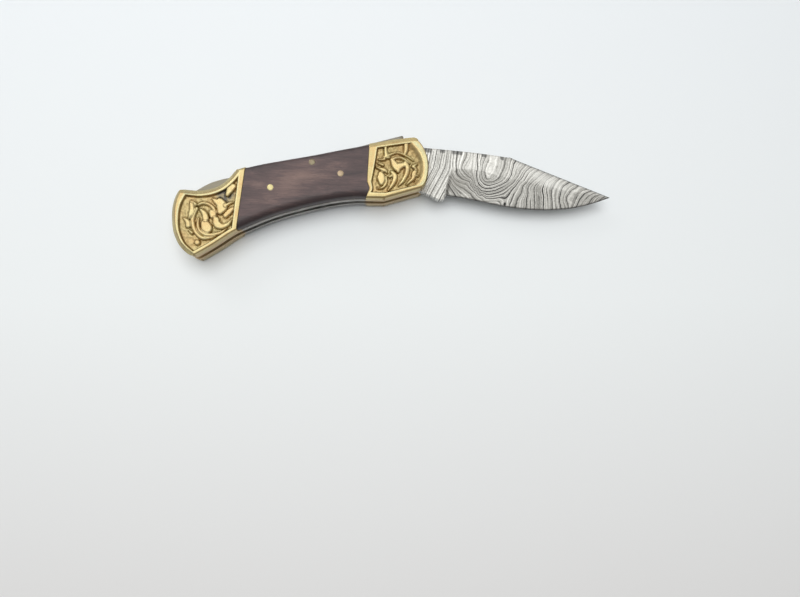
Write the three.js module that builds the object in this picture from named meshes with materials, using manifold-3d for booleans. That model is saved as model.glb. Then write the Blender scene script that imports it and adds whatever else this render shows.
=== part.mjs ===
// Folding pocket knife, a small lockback that lies open on its side.
// Millimetres. X runs from the butt to the blade's tip, Y towards the spine, Z up.
// Outlines are measured from the blade's pivot, and Z from the middle plane of the blade.

import * as THREE from 'three';
import { mergeVertices } from 'three/addons/utils/BufferGeometryUtils.js';
import Module from 'manifold-3d';

const wasm = await Module();
wasm.setup();

// Thickness, from the middle plane outwards
const bladeThickness = 2.5;
const slotClearance = 0.05;
const linerThickness = 1.5;
const bolsterThickness = 3.1;
const scaleSunk = 0.2;
const slotHalf = bladeThickness / 2 + slotClearance;
const linerTop = slotHalf + linerThickness;
const bolsterTop = linerTop + bolsterThickness;
const scaleTop = bolsterTop - scaleSunk;

// Gaps and fits
const jointGap = 0.06;
const pinFit = 0.05;
const turningFit = 0.1;
const lockGap = 0.35;

// Pins, rivets and what they turn
const pivotRadius = 1.75;
const rocker = { x: -25.5, y: 1.4, radius: 1.1 };
const scaleRivet = { radius: 1.1, places: [[-37.5, -6.1], [-17.2, -2.0]] };
const springPin = { radius: 0.9, places: [[-61.0, -11.8], [-57.0, -10.8]] };
const bolsterRivet = {
  radius: 0.8,
  places: [['front', -5.6, 4.4], ['front', -5.6, -5.6], ['rear', -49.6, -12.0], ['rear', -58.2, -19.2]],
};
const blindDepth = 1.5;
const rivetStandOff = 0.05;
const pinSides = 24;

// The lock: the bar is drawn seated, then raised about its rocker pin
const lockRaise = THREE.MathUtils.degToRad(4);
const bladeSwing = THREE.MathUtils.degToRad(157);
const camRadius = 5.2;
const toothBottom = 3.75;
const toothFront = 1.85;
const toothLength = 3.25;
const noseProud = 0.45;
const noseChamfer = 0.35;
// Behind the tooth the bar's underside steps up over the tang's cam, then comes down again
const noseRelief = [[-2.9, 0.25], [-1.1, 1.3], [0, 1.65]];

// Bolsters: a bevelled rim round a sunk panel with raised scrolls
const recessDepth = 0.9;
const recessWallSlope = 0.35;
const scrollSunk = 0.15;
const edgeBreak = 0.12;

// Wood covers
const linerStep = 0.25;
const bellyRounding = { width: 2.2, drop: 1.9 };
const spineRounding = { width: 1.4, drop: 1.3 };
const scaleRibs = 14;
const roundingSteps = 4;

// Handle outline, anticlockwise. Each side is a smooth curve from one corner to the next.
// round is the corner radius at the side's start, rim the width of the bolster's rim from
// start to end, bevel and drop the width and height of the slope outside that rim.
const rearBelly = {
  points: [[-59.8, -26.3], [-54.0, -22.9], [-49.2, -19.7], [-46.4, -18.1]],
  round: 1.4, rim: [0.9, 0.9], bevel: 0.3, drop: 0.8, steps: 4,
};
const midBelly = {
  points: [[-46.4, -18.1], [-37.4, -14.4], [-28.1, -11.7], [-20.0, -9.9], [-13.5, -9.1], [-9.85, -9.1]],
  round: 0, steps: 16,
};
const frontBelly = {
  points: [[-9.85, -9.1], [-4.6, -9.2]],
  round: 0, rim: [1.5, 1.4], bevel: 0.45, drop: 1.1, steps: 2,
};
const heel = {
  points: [[-4.6, -9.2], [6.3, -6.1]],
  round: 0, rim: [1.2, 0.7], bevel: 0.45, drop: 1.1, steps: 3,
};
const frontArc = {
  points: [[6.3, -6.1], [7.6, -4.5], [8.35, -0.9], [8.1, 2.6], [6.9, 5.9], [5.4, 8.0]],
  round: 0.8, rim: [1.4, 1.8], bevel: 0.4, drop: 0.6, steps: 8,
};
const topEdge = {
  points: [[4.9, 8.75], [3.6, 8.75], [-2.6, 7.95], [-8.85, 6.9]],
  round: 1.0, rim: [1.6, 1.6], bevel: 1.2, drop: 1.0, steps: 4,
};
const midSpine = {
  points: [[-8.85, 6.9], [-17.0, 5.4], [-25.0, 3.8], [-33.5, 2.3], [-40.0, 1.1], [-44.8, 0.0]],
  round: 0, steps: 14,
};
const rearLand = {
  points: [[-44.8, 0.0], [-47.6, -0.8]],
  round: 0, bevel: 0.7, drop: 0.6, steps: 2,
};
const thumbNotch = {
  points: [[-47.9, -1.0], [-49.6, -3.1], [-51.9, -5.1], [-54.9, -6.35], [-58.3, -6.85], [-63.0, -6.5]],
  round: 0.7, rim: [1.9, 1.8], bevel: 1.5, drop: 1.1, steps: 9,
};
const buttArc = {
  points: [[-64.2, -6.4], [-65.6, -10.2], [-65.95, -14.4], [-65.3, -19.2], [-63.2, -23.4], [-59.8, -26.3]],
  round: 1.1, rim: [2.35, 1.3], bevel: 1.9, drop: 1.2, steps: 10,
};
const frontJoint = { round: 0, rim: [2.4, 1.6], bevel: edgeBreak, drop: edgeBreak, steps: 2 };
const rearJoint = { round: 0, rim: [1.5, 1.5], bevel: edgeBreak, drop: edgeBreak, steps: 2 };

// Lock bar, seated: its tail behind the wood, and its underside above the closed blade
const barTailTop = [[-46.5, -0.6], [-50.4, -0.3], [-53.7, -0.75], [-57.0, -1.7], [-60.9, -3.6]];
const barUnderside = [
  [-61.1, -6.2], [-54.0, -4.9], [-48.5, -4.2], [-43.1, -3.4], [-37.4, -2.3], [-31.7, -1.3],
  [-25.5, -0.6], [-20.0, 0.9], [-17.2, 1.6], [-16.3, 3.85],
];

// Blade. Beyond the kick, each place along it is a share of its length from pivot to tip
const bladeLength = 62.7;
const alongBlade = (points) => points.map(([share, y]) => [share * bladeLength, y]);
const bladeSpine = alongBlade([[0.107, 7.2], [0.242, 6.4], [0.384, 5.4], [0.536, 4.0]]);
const clipEdge = alongBlade([[0.536, 4.0], [0.565, 3.25], [0.997, -7.65]]);
const cuttingEdge = alongBlade([
  [0.217, -7.1], [0.287, -7.7], [0.383, -8.85], [0.478, -10.15], [0.574, -11.05], [0.67, -11.45],
  [0.75, -11.35], [0.83, -10.8], [0.91, -9.65], [1, -7.75],
]);
const grindLine = alongBlade([
  [0.217, 0.8], [0.367, 0.4], [0.5, -1.9], [0.646, -3.8], [0.8, -5.8], [0.998, -7.7],
]);
const plunge = alongBlade([[0.217, -7.0], [0.223, -4.3], [0.238, -0.4], [0.242, 6.4]]);
const kick = [[6.5, -6.1], [9.2, -7.35], [11.2, -8.45], [12.3, -8.65], [13.2, -8.35], [13.5, -7.05]];
const shoulderHeight = 7.6;
const edgeThickness = 0.24;
const tipThickness = 1.0;
const taperStart = 0.48 * bladeLength;
const spineBreak = 0.3;
const swedgeWidth = 0.5;
// Near the tip, where the blade narrows, the swedge and the flat keep these shares of its depth
const mostSwedge = 0.2;
const leastFlat = 0.1;
const bladeStations = [
  0.217, 0.255, 0.319, 0.399, 0.463, 0.536, 0.565, 0.6, 0.654, 0.718, 0.782, 0.845, 0.901, 0.949,
  0.976, 0.989,
].map((share) => share * bladeLength);
const camSteps = 16;

// Backspring: a butt block with a leaf under the bar's tail
const blockUnderside = [
  [-62.9, -20.0], [-62.3, -17.2], [-58.5, -14.2], [-56.2, -12.1], [-53.7, -10.2],
  [-51.0, -8.7], [-48.0, -7.1],
];
const leafTop = [[-47.6, -6.2], [-52.0, -7.3], [-56.0, -8.9], [-62.3, -9.3], [-62.6, -7.6]];
const blockFoot = -20.4;
const springSetIn = 0.05;

// Raised scrolls on the bolster panels: points along the middle of each stroke, and its
// widths from start to end
const frontScrolls = [
  { points: [[-4.3, 2.6], [-2.3, 3.9], [-0.9, 4.3], [0.9, 4.2], [2.6, 3.3], [4.1, 1.7]],
    widths: [0.8, 0.7, 0.6, 0.4] },
  { points: [[-2.3, 2.3], [-1.2, 2.8], [0.3, 2.9], [1.6, 2.3], [2.9, 0.9]],
    widths: [0.7, 0.7, 0.3] },
  { points: [[-2.2, 1.6], [-1.3, 0.8], [-0.3, -0.1], [1.0, -0.7]], widths: [1.5, 2.3, 2.5, 1.7] },
  { points: [[1.3, 1.4], [2.0, 0.1], [2.1, -1.4], [1.6, -2.9], [-0.6, -5.4]],
    widths: [1.2, 1.1, 1.0, 0.4] },
  { points: [[5.1, -1.3], [4.1, -1.5], [3.5, -3.2], [1.9, -5.3]], widths: [0.8, 1.3, 0.9, 0.4] },
  { points: [[-3.0, -3.0], [-2.2, -1.9], [-1.2, -2.7], [-1.4, -4.2], [-2.4, -5.8]],
    widths: [0.4, 1.1, 0.9, 0.4] },
  { points: [[-5.2, -1.6], [-4.9, -2.9], [-4.8, -4.3]], widths: [1.0, 2.4, 1.4] },
];
const rearScrolls = [
  { points: [[-58.7, -12.3], [-59.8, -16.2], [-59.2, -18.3], [-56.8, -20.8], [-53.2, -20.3]],
    widths: [1.0, 1.3, 1.2, 0.4] },
  { points: [[-58.1, -15.2], [-58.1, -17.4], [-55.9, -19.9], [-53.8, -19.9], [-50.0, -18.2]],
    widths: [0.6, 0.9, 0.9, 0.4] },
  { points: [[-56.2, -16.7], [-55.7, -18.0]], widths: [2.2, 3.0] },
  { points: [[-58.2, -11.2], [-56.9, -10.7], [-55.3, -11.0], [-54.0, -12.0], [-53.1, -13.4]],
    widths: [0.6, 0.9, 1.0, 0.8] },
  { points: [[-57.4, -12.7], [-56.4, -13.8], [-56.0, -15.1]], widths: [0.8, 1.6, 1.8] },
  { points: [[-53.0, -15.6], [-52.8, -16.7], [-51.5, -17.5], [-49.7, -17.0], [-48.4, -15.4]],
    widths: [1.8, 2.1, 1.3, 0.4] },
  { points: [[-50.3, -14.3], [-48.2, -12.3]], widths: [1.5, 0.9] },
  { points: [[-52.0, -10.3], [-51.7, -11.6], [-51.9, -13.0]], widths: [2.0, 2.9, 1.6] },
  { points: [[-49.9, -8.2], [-49.3, -7.0], [-48.4, -6.1]], widths: [1.0, 1.8, 1.4] },
  { points: [[-60.3, -11.1], [-60.0, -12.4], [-60.8, -15.1]], widths: [1.0, 1.5, 0.5] },
];
const scrollSteps = 10;

// Colours, roughness and metalness
const brass = { color: 0xc3a468, roughness: 0.38, metalness: 0.9 };
const rosewood = { color: 0x5f5150, roughness: 0.55, metalness: 0 };
const linerSteel = { color: 0x8f908f, roughness: 0.4, metalness: 0.9 };
const springSteel = { color: 0x8a8a86, roughness: 0.35, metalness: 0.95 };
const layeredSteel = { color: 0xb3b5b8, roughness: 0.42, metalness: 0.85 };

const knife = new THREE.Group();

function addPart(name, geometry, finish) {
  geometry.computeVertexNormals();
  const mesh = new THREE.Mesh(geometry, new THREE.MeshStandardMaterial(finish));
  mesh.name = name;
  knife.add(mesh);
}

// Outlines

const curveFineness = 8;
const nearlyStraight = 0.15;
const leastCornerRadius = 0.15;
const cornerMargin = 0.02;

const toVector = ([x, y]) => new THREE.Vector2(x, y);

function curvePoints(points, steps) {
  if (points.length === 2) {
    return new THREE.LineCurve(toVector(points[0]), toVector(points[1])).getSpacedPoints(steps);
  }
  return new THREE.SplineCurve(points.map(toVector)).getSpacedPoints(steps);
}

function heightAt(points, x) {
  const sorted = [...points].sort((a, b) => a[0] - b[0]);
  const next = sorted.findIndex((point, i) => i > 0 && point[0] >= x);
  const b = sorted[next < 0 ? sorted.length - 1 : next];
  const a = sorted[next < 0 ? sorted.length - 2 : next - 1];
  return a[1] + (b[1] - a[1]) * (x - a[0]) / (b[0] - a[0]);
}

function inward(from, to) {
  return new THREE.Vector2(from.y - to.y, to.x - from.x).normalize();
}

function crossing(pointA, directionA, pointB, directionB) {
  const turn = directionA.cross(directionB);
  if (Math.abs(turn) < nearlyStraight) {
    return pointA.clone().add(pointB).multiplyScalar(0.5);
  }
  const along = pointB.clone().sub(pointA).cross(directionB) / turn;
  return pointA.clone().addScaledVector(directionA, along);
}

function offsetSide(side, width) {
  const points = curvePoints(side.points, curveFineness * side.steps);
  return points.map((point, i) => {
    const before = points[Math.max(i - 1, 0)];
    const after = points[Math.min(i + 1, points.length - 1)];
    const reach = THREE.MathUtils.lerp(width[0], width[1], i / (points.length - 1));
    return point.clone().addScaledVector(inward(before, after), reach);
  });
}

function alongLine(points, distance) {
  let left = distance;
  for (let i = 1; i < points.length; i++) {
    const length = points[i].distanceTo(points[i - 1]);
    if (left <= length || i === points.length - 1) {
      return points[i - 1].clone().lerp(points[i], Math.min(left / length, 1));
    }
    left -= length;
  }
}

function lineLength(points) {
  return points.slice(1).reduce((sum, point, i) => sum + point.distanceTo(points[i]), 0);
}

// A closed ring of points, set in from the sides by widthOf(side), with rounded corners.
// The count of points depends only on the sides, so rings of the same sides can be joined.
function outlineRing(sides, widthOf) {
  const runs = sides.map((side) => offsetSide(side, widthOf(side)));
  const corners = runs.map((run, i) => {
    const last = runs[(i + runs.length - 1) % runs.length];
    const lastDirection = last[last.length - 1].clone().sub(last[last.length - 2]).normalize();
    const direction = run[1].clone().sub(run[0]).normalize();
    return crossing(last[last.length - 1], lastDirection, run[0], direction);
  });
  const inset = sides.map((side) => widthOf(side)[0]);
  const rounded = (round, by) => (round ? Math.max(round - by, leastCornerRadius) : 0);
  const radii = sides.map((side, i) => rounded(side.round, inset[i]));
  const ring = [];
  sides.forEach((side, i) => {
    const start = corners[i];
    const end = corners[(i + 1) % corners.length];
    const endRadius = radii[(i + 1) % radii.length];
    const run = runs[i];
    const ahead = run[1].clone().sub(run[0]).normalize();
    const arriving = run[run.length - 1].clone().sub(run[run.length - 2]).normalize();
    const kept = run.slice(1, -1).filter((point) => point.clone().sub(start).dot(ahead) > cornerMargin
      && end.clone().sub(point).dot(arriving) > cornerMargin);
    const path = [start, ...kept, end];
    const length = lineLength(path);
    if (radii[i]) {
      const before = runs[(i + runs.length - 1) % runs.length];
      const backward = before[before.length - 2].clone().sub(before[before.length - 1]).normalize();
      const leaving = alongLine(path, radii[i]);
      const coming = start.clone().addScaledVector(backward, radii[i]);
      const middle = start.clone().add(coming.clone().add(leaving).divideScalar(2)).divideScalar(2);
      ring.push(coming, middle, leaving);
    } else {
      ring.push(start.clone());
    }
    for (let k = 1; k < side.steps; k++) {
      ring.push(alongLine(path, THREE.MathUtils.lerp(radii[i], length - endRadius, k / side.steps)));
    }
  });
  return ring;
}

// One value for each point of outlineRing, from valueOf(side), blended over the corners
function ringValues(sides, valueOf) {
  return sides.flatMap((side, i) => {
    const before = valueOf(sides[(i + sides.length - 1) % sides.length]);
    const own = valueOf(side);
    const start = side.round ? [before, (before + own) / 2, own] : [(before + own) / 2];
    return [...start, ...Array(side.steps - 1).fill(own)];
  });
}

// Solids

const weldDistance = 1e-5;

function closedGeometry(positions, indices) {
  const geometry = new THREE.BufferGeometry();
  geometry.setAttribute('position', new THREE.Float32BufferAttribute(positions, 3));
  let volume = 0;
  const corner = (i) => new THREE.Vector3().fromArray(positions, 3 * indices[i]);
  for (let i = 0; i < indices.length; i += 3) {
    volume += corner(i).dot(corner(i + 1).cross(corner(i + 2)));
  }
  geometry.setIndex(volume < 0 ? [...indices].reverse() : indices);
  return geometry;
}

// Joins rings or ribs with the same count of points into one closed skin.
// flatten says in which plane the two end caps are filled.
function loft(sections, flatten) {
  const count = sections[0].length;
  const positions = sections.flat().flatMap((point) => [point.x, point.y, point.z]);
  const indices = [];
  for (let s = 0; s + 1 < sections.length; s++) {
    for (let i = 0; i < count; i++) {
      const a = s * count + i;
      const b = s * count + (i + 1) % count;
      indices.push(a, b, b + count, a, b + count, a + count);
    }
  }
  const cap = (section, offset, flip) => {
    const flat = section.map(flatten);
    const turned = THREE.ShapeUtils.isClockWise(flat);
    const shape = turned ? [...flat].reverse() : flat;
    for (const face of THREE.ShapeUtils.triangulateShape(shape, [])) {
      const places = face.map((i) => offset + (turned ? count - 1 - i : i));
      indices.push(...(flip === turned ? places : places.reverse()));
    }
  };
  cap(sections[0], 0, true);
  cap(sections[sections.length - 1], (sections.length - 1) * count, false);
  return closedGeometry(positions, indices);
}

const flatInXY = (point) => new THREE.Vector2(point.x, point.y);
const heightOf = (z, i) => (Array.isArray(z) ? z[i] : z);
const atHeight = (ring, z) => ring.map(({ x, y }, i) => new THREE.Vector3(x, y, heightOf(z, i)));

function plate(points, low, high) {
  const outline = new THREE.Shape(points.map((point) => (point.isVector2 ? point : toVector(point))));
  const geometry = new THREE.ExtrudeGeometry(outline, { depth: high - low, bevelEnabled: false });
  return geometry.translate(0, 0, low);
}

function rod(x, y, radius, low, high) {
  const geometry = new THREE.CylinderGeometry(radius, radius, high - low, pinSides);
  return geometry.rotateX(Math.PI / 2).translate(x, y, (low + high) / 2);
}

function toSolid(geometry) {
  const bare = geometry.clone();
  bare.deleteAttribute('normal');
  bare.deleteAttribute('uv');
  const merged = mergeVertices(bare, weldDistance);
  const vertProperties = new Float32Array(merged.attributes.position.array);
  const triVerts = new Uint32Array(merged.index.array);
  return new wasm.Manifold(new wasm.Mesh({ numProp: 3, vertProperties, triVerts }));
}

function toGeometry(solid) {
  const mesh = solid.getMesh();
  const geometry = new THREE.BufferGeometry();
  geometry.setAttribute('position', new THREE.Float32BufferAttribute(mesh.vertProperties, 3));
  geometry.setIndex(new THREE.Uint32BufferAttribute(mesh.triVerts, 1));
  return geometry;
}

function cut(geometry, tools) {
  return toGeometry(tools.reduce((rest, tool) => rest.subtract(toSolid(tool)), toSolid(geometry)));
}

function join(geometry, others) {
  return toGeometry(others.reduce((whole, other) => whole.add(toSolid(other)), toSolid(geometry)));
}

function mirrored(geometry) {
  const copy = geometry.clone().scale(1, 1, -1);
  copy.setIndex([...copy.index.array].reverse());
  return copy;
}

function addPair(name, geometry, finish) {
  addPart(`upper_${name}`, geometry, finish);
  addPart(`lower_${name}`, mirrored(geometry), finish);
}

// Pins: each is made once, and every fixed piece that it passes through gets its hole

const blindTop = linerTop + blindDepth;
const rivetTop = scaleTop + rivetStandOff;
const rearThenFront = ['rear', 'front'];
const throughPins = [
  { name: 'pivot_pin', x: 0, y: 0, radius: pivotRadius, top: blindTop, finish: springSteel },
  { name: 'rocker_pin', x: rocker.x, y: rocker.y, radius: rocker.radius, top: rivetTop, finish: brass },
  ...springPin.places.map(([x, y], i) => ({
    name: `${rearThenFront[i]}_spring_pin`, x, y,
    radius: springPin.radius, top: blindTop, finish: springSteel,
  })),
];
const sideRivets = [
  ...scaleRivet.places.map(([x, y], i) => ({
    name: `${rearThenFront[i]}_scale_rivet`, x, y,
    radius: scaleRivet.radius, top: rivetTop, finish: brass,
  })),
  ...bolsterRivet.places.map(([end, x, y], i) => ({
    name: `${end}_bolster_rivet_${i % 2 + 1}`, x, y,
    radius: bolsterRivet.radius, top: blindTop, finish: brass,
  })),
];

function pinHole({ x, y, radius, top }, low) {
  return rod(x, y, radius + pinFit, low, top + pinFit);
}

const holes = [
  ...throughPins.map((pin) => pinHole(pin, -pin.top - pinFit)),
  ...sideRivets.map((pin) => pinHole(pin, 0)),
];

for (const pin of throughPins) {
  addPart(pin.name, rod(pin.x, pin.y, pin.radius, -pin.top, pin.top), pin.finish);
}
for (const pin of sideRivets) {
  addPair(pin.name, rod(pin.x, pin.y, pin.radius, slotHalf, pin.top), pin.finish);
}

// Liners

const handleSides = [
  rearBelly, midBelly, frontBelly, heel, frontArc, topEdge, midSpine, rearLand, thumbNotch, buttArc,
];
const noInset = () => [0, 0];
const handleRing = outlineRing(handleSides, noInset);
addPair('liner', cut(plate(handleRing, slotHalf, linerTop), holes), linerSteel);

// Bolsters

function scrollStroke({ points, widths }) {
  const middle = curvePoints(points, scrollSteps);
  const left = [];
  const right = [];
  middle.forEach((point, i) => {
    const before = middle[Math.max(i - 1, 0)];
    const after = middle[Math.min(i + 1, scrollSteps)];
    const place = i / scrollSteps * (widths.length - 1);
    const low = Math.min(Math.floor(place), widths.length - 2);
    const width = THREE.MathUtils.lerp(widths[low], widths[low + 1], place - low);
    const aside = inward(before, after).multiplyScalar(width / 2);
    left.push(point.clone().add(aside));
    right.push(point.clone().sub(aside));
  });
  const outline = [...right, ...left.reverse()];
  return plate(outline, bolsterTop - recessDepth - edgeBreak, bolsterTop - scrollSunk);
}

function bolster(sides, scrolls) {
  const outer = outlineRing(sides, noInset);
  const shoulder = ringValues(sides, (side) => bolsterTop - side.drop);
  const crest = outlineRing(sides, (side) => [side.bevel, side.bevel]);
  const levels = [atHeight(outer, linerTop), atHeight(outer, shoulder), atHeight(crest, bolsterTop)];
  const body = loft(levels, flatInXY);
  const rimmed = sides.filter((side) => side.rim);
  const recessEdge = outlineRing(rimmed, (side) => side.rim);
  const recessFloor = outlineRing(rimmed, (side) => side.rim.map((width) => width + recessWallSlope));
  const recess = loft([
    atHeight(recessFloor, bolsterTop - recessDepth),
    atHeight(recessEdge, bolsterTop),
    atHeight(recessEdge, bolsterTop + recessDepth),
  ], flatInXY);
  return cut(join(cut(body, [recess]), scrolls.map(scrollStroke)), holes);
}

const lastOf = (side) => side.points[side.points.length - 1];
const besideJoint = (point, sign) => [point[0] + sign * jointGap, point[1]];
const frontJointSide = { ...frontJoint, points: [midSpine.points[0], lastOf(midBelly)] };
const rearJointSide = { ...rearJoint, points: [midBelly.points[0], lastOf(midSpine)] };
const frontSides = [frontBelly, heel, frontArc, topEdge, frontJointSide];
const rearSides = [rearBelly, rearJointSide, rearLand, thumbNotch, buttArc];
addPair('front_bolster', bolster(frontSides, frontScrolls), brass);
addPair('rear_bolster', bolster(rearSides, rearScrolls), brass);

// Wood covers, lofted through upright ribs that run from the belly to the spine

function scaleSide(side) {
  const start = besideJoint(side.points[0], side === midBelly ? 1 : -1);
  const end = besideJoint(lastOf(side), side === midBelly ? -1 : 1);
  return curvePoints([start, ...side.points.slice(1, -1), end], curveFineness * side.steps);
}

function roundedEdge({ width, drop }) {
  return Array.from({ length: roundingSteps + 1 }, (_, k) => {
    const angle = k / roundingSteps * Math.PI / 2;
    return { in: width * (1 - Math.cos(angle)), z: scaleTop - drop * (1 - Math.sin(angle)) };
  });
}

function scaleCover() {
  const belly = scaleSide(midBelly);
  const spine = scaleSide(midSpine).reverse();
  const bellyLength = lineLength(belly);
  const spineLength = lineLength(spine);
  const ribs = [];
  for (let r = 0; r <= scaleRibs; r++) {
    const low = alongLine(belly, bellyLength * r / scaleRibs);
    const high = alongLine(spine, spineLength * r / scaleRibs);
    const across = high.clone().sub(low).normalize();
    const fromBelly = (distance, z) => {
      const place = low.clone().addScaledVector(across, distance);
      return new THREE.Vector3(place.x, place.y, z);
    };
    const width = high.distanceTo(low);
    ribs.push([
      fromBelly(linerStep, linerTop),
      ...roundedEdge(bellyRounding).map((step) => fromBelly(linerStep + step.in, step.z)),
      ...roundedEdge(spineRounding).reverse().map((step) => fromBelly(width - step.in, step.z)),
      fromBelly(width, linerTop),
    ]);
  }
  return loft(ribs, (point) => new THREE.Vector2(point.y, point.z));
}

addPair('scale', cut(scaleCover(), holes), rosewood);

// Lock bar

const halfBlade = bladeThickness / 2;
const rockerCentre = toVector([rocker.x, rocker.y]);
const raised = (points) => points.map((point) => toVector(point).rotateAround(rockerCentre, lockRaise));

function lockBarOutline() {
  const spine = [...topEdge.points.slice(1), ...midSpine.points.slice(1, -1)];
  const noseTop = heightAt(spine, toothFront) + noseProud;
  const toothRear = toothFront - toothLength;
  const alongSpine = midSpine.points.slice(1, -1).map(([x, y]) => {
    const reach = (x - rocker.x) / (toothFront - rocker.x);
    return [x, y + noseProud * Math.max(reach, 0) - slotClearance];
  });
  return [
    [toothFront, toothBottom], [toothFront, noseTop - noseChamfer], [toothFront - noseChamfer, noseTop],
    ...alongSpine, ...barTailTop, ...barUnderside,
    ...noseRelief.map(([x, y]) => [toothRear + x, toothBottom + y]),
    [toothRear, toothBottom],
  ];
}

const rockerHole = rod(rocker.x, rocker.y, rocker.radius + turningFit, -bladeThickness, bladeThickness);
const lockBar = plate(raised(lockBarOutline()), -halfBlade, halfBlade);
addPart('lock_bar', cut(lockBar, [rockerHole]), springSteel);

// Blade: tang and flat shoulder, joined to the ground part

function tangOutline() {
  const notchFloor = toothBottom - lockGap;
  const notchFront = toothFront + lockGap;
  const notchRear = toothFront - toothLength - lockGap;
  const flatHalf = Math.acos(notchFloor / camRadius);
  const camStart = Math.PI - Math.acos(-notchRear / camRadius);
  const closedFlat = Math.PI / 2 + bladeSwing;
  const cam = Array.from({ length: camSteps + 1 }, (_, i) => {
    const angle = THREE.MathUtils.lerp(camStart, closedFlat - flatHalf, i / camSteps);
    return [camRadius * Math.cos(angle), camRadius * Math.sin(angle)];
  });
  const flatEnd = closedFlat + flatHalf;
  return [
    [notchFront, shoulderHeight], [notchFront, notchFloor], [notchRear, notchFloor], ...cam,
    [camRadius * Math.cos(flatEnd), camRadius * Math.sin(flatEnd)], ...kick, ...plunge, bladeSpine[0],
  ];
}

function groundSection(x) {
  const onClip = x > clipEdge[0][0];
  const back = heightAt(onClip ? clipEdge : bladeSpine, x);
  const edge = heightAt(cuttingEdge, x);
  const tipX = bladeStations[bladeStations.length - 1];
  const taper = THREE.MathUtils.clamp((x - taperStart) / (tipX - taperStart), 0, 1);
  const half = THREE.MathUtils.lerp(bladeThickness, tipThickness, taper) / 2;
  const depth = back - edge;
  const swedge = back - Math.min(onClip ? swedgeWidth : spineBreak, mostSwedge * depth);
  const grind = Math.min(heightAt(grindLine, x), swedge - leastFlat * depth);
  const backHalf = half - Math.min(spineBreak, half / 2);
  const side = [[back, backHalf], [swedge, half], [grind, half], [edge, edgeThickness / 2]];
  const lower = side.map(([y, z]) => new THREE.Vector3(x, y, -z));
  const upper = side.map(([y, z]) => new THREE.Vector3(x, y, z)).reverse();
  return [...lower, ...upper];
}

const acrossBlade = (point) => new THREE.Vector2(point.y, point.z);
const groundPart = loft(bladeStations.map(groundSection), acrossBlade);
const pivotHole = rod(0, 0, pivotRadius + turningFit, -bladeThickness, bladeThickness);
const tang = plate(tangOutline(), -halfBlade, halfBlade);
addPart('blade', cut(join(tang, [groundPart]), [pivotHole]), layeredSteel);

// Backspring

function backspringOutline() {
  const butt = curvePoints(buttArc.points, 2 * buttArc.steps);
  const edge = butt.filter((point) => point.y > blockFoot).slice(1);
  const outside = edge.map((point) => [point.x + springSetIn, point.y]);
  return [...outside, ...blockUnderside, ...leafTop];
}

addPart('backspring', cut(plate(backspringOutline(), -halfBlade, halfBlade), holes), springSteel);

// The knife rests on its lower bolsters, with the origin under the middle of its outline
const bounds = new THREE.Box3().setFromObject(knife);
const centre = bounds.getCenter(new THREE.Vector3());
knife.position.set(-centre.x, -centre.y, bolsterTop);

export default knife;
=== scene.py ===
# %% [markdown]
# # A small lockback folding knife, in Blender
#
# The knife lies open on its side on a pale table. The CAD model already has every solid and
# every joint, so this script dresses that frame: it gives each piece its real edges, carving,
# grain and wear, and never moves it. Sizes are in millimetres from the blade's pivot, as a
# knife maker would lay them out, and are turned into the frame's metres at the last moment.

# %% Load the frame
import math

import bpy
import numpy as np
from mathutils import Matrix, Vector, geometry


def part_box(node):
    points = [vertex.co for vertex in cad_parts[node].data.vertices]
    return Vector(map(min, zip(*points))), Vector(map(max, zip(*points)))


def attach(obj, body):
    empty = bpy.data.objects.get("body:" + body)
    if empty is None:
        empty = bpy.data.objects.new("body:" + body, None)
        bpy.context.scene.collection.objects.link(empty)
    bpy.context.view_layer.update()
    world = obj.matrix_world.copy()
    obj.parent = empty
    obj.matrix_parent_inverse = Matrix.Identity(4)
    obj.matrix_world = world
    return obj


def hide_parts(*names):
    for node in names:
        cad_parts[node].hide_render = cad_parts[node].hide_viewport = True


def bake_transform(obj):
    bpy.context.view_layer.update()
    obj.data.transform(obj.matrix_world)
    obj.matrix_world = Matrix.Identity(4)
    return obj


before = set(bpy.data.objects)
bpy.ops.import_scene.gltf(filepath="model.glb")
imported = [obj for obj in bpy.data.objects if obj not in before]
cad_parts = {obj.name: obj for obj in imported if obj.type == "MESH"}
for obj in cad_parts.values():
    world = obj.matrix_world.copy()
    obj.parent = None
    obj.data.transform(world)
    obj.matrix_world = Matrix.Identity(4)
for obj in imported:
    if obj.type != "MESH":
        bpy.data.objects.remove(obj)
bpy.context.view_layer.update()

MM = 0.001
pin_low, pin_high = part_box("pivot_pin")
pivot = (Vector(pin_low) + Vector(pin_high)) / 2
print("pivot in the row frame, mm:", [round(v / MM, 2) for v in pivot])

# %% [markdown]
# ## The camera
#
# The photograph was taken with a wide phone lens from close above, a little from the belly
# side. Such a picture shows the handle's lower edge and hides its spine. A camera at the same
# place and tilt gives the same foreshortening, which no later scaling could imitate. The
# picture was cropped a little off centre afterwards, and the lens shift gives that back.

# %% Camera
CAMERA_PLACE = (-6.0, -45.7, 181.7)
CAMERA_TILT = 5.0
CAMERA_SEES_FROM = 5.0
PHOTO_WIDTH = 800
FOCAL_PIXELS = 600.9
SHIFT_PIXELS = 27.6

camera_data = bpy.data.cameras.new("photo_camera")
camera_data.lens = FOCAL_PIXELS / PHOTO_WIDTH * camera_data.sensor_width
camera_data.shift_x = SHIFT_PIXELS / PHOTO_WIDTH
camera_data.clip_start = CAMERA_SEES_FROM * MM
camera = bpy.data.objects.new("photo_camera", camera_data)
camera.location = Vector(CAMERA_PLACE) * MM
camera.rotation_euler = (math.radians(CAMERA_TILT), 0, 0)
bpy.context.scene.collection.objects.link(camera)
bpy.context.scene.camera = camera
print("lens", round(camera_data.lens, 2), "mm")

# %% [markdown]
# ## Small node helpers
#
# Every finish below is a chain of Blender's own nodes. A few short helpers keep those chains
# readable: they add a node and feed its inputs, set up a colour ramp, start a material and hand
# back its main shader, or do one sum. An input takes a plain value or another node's output.

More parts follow.
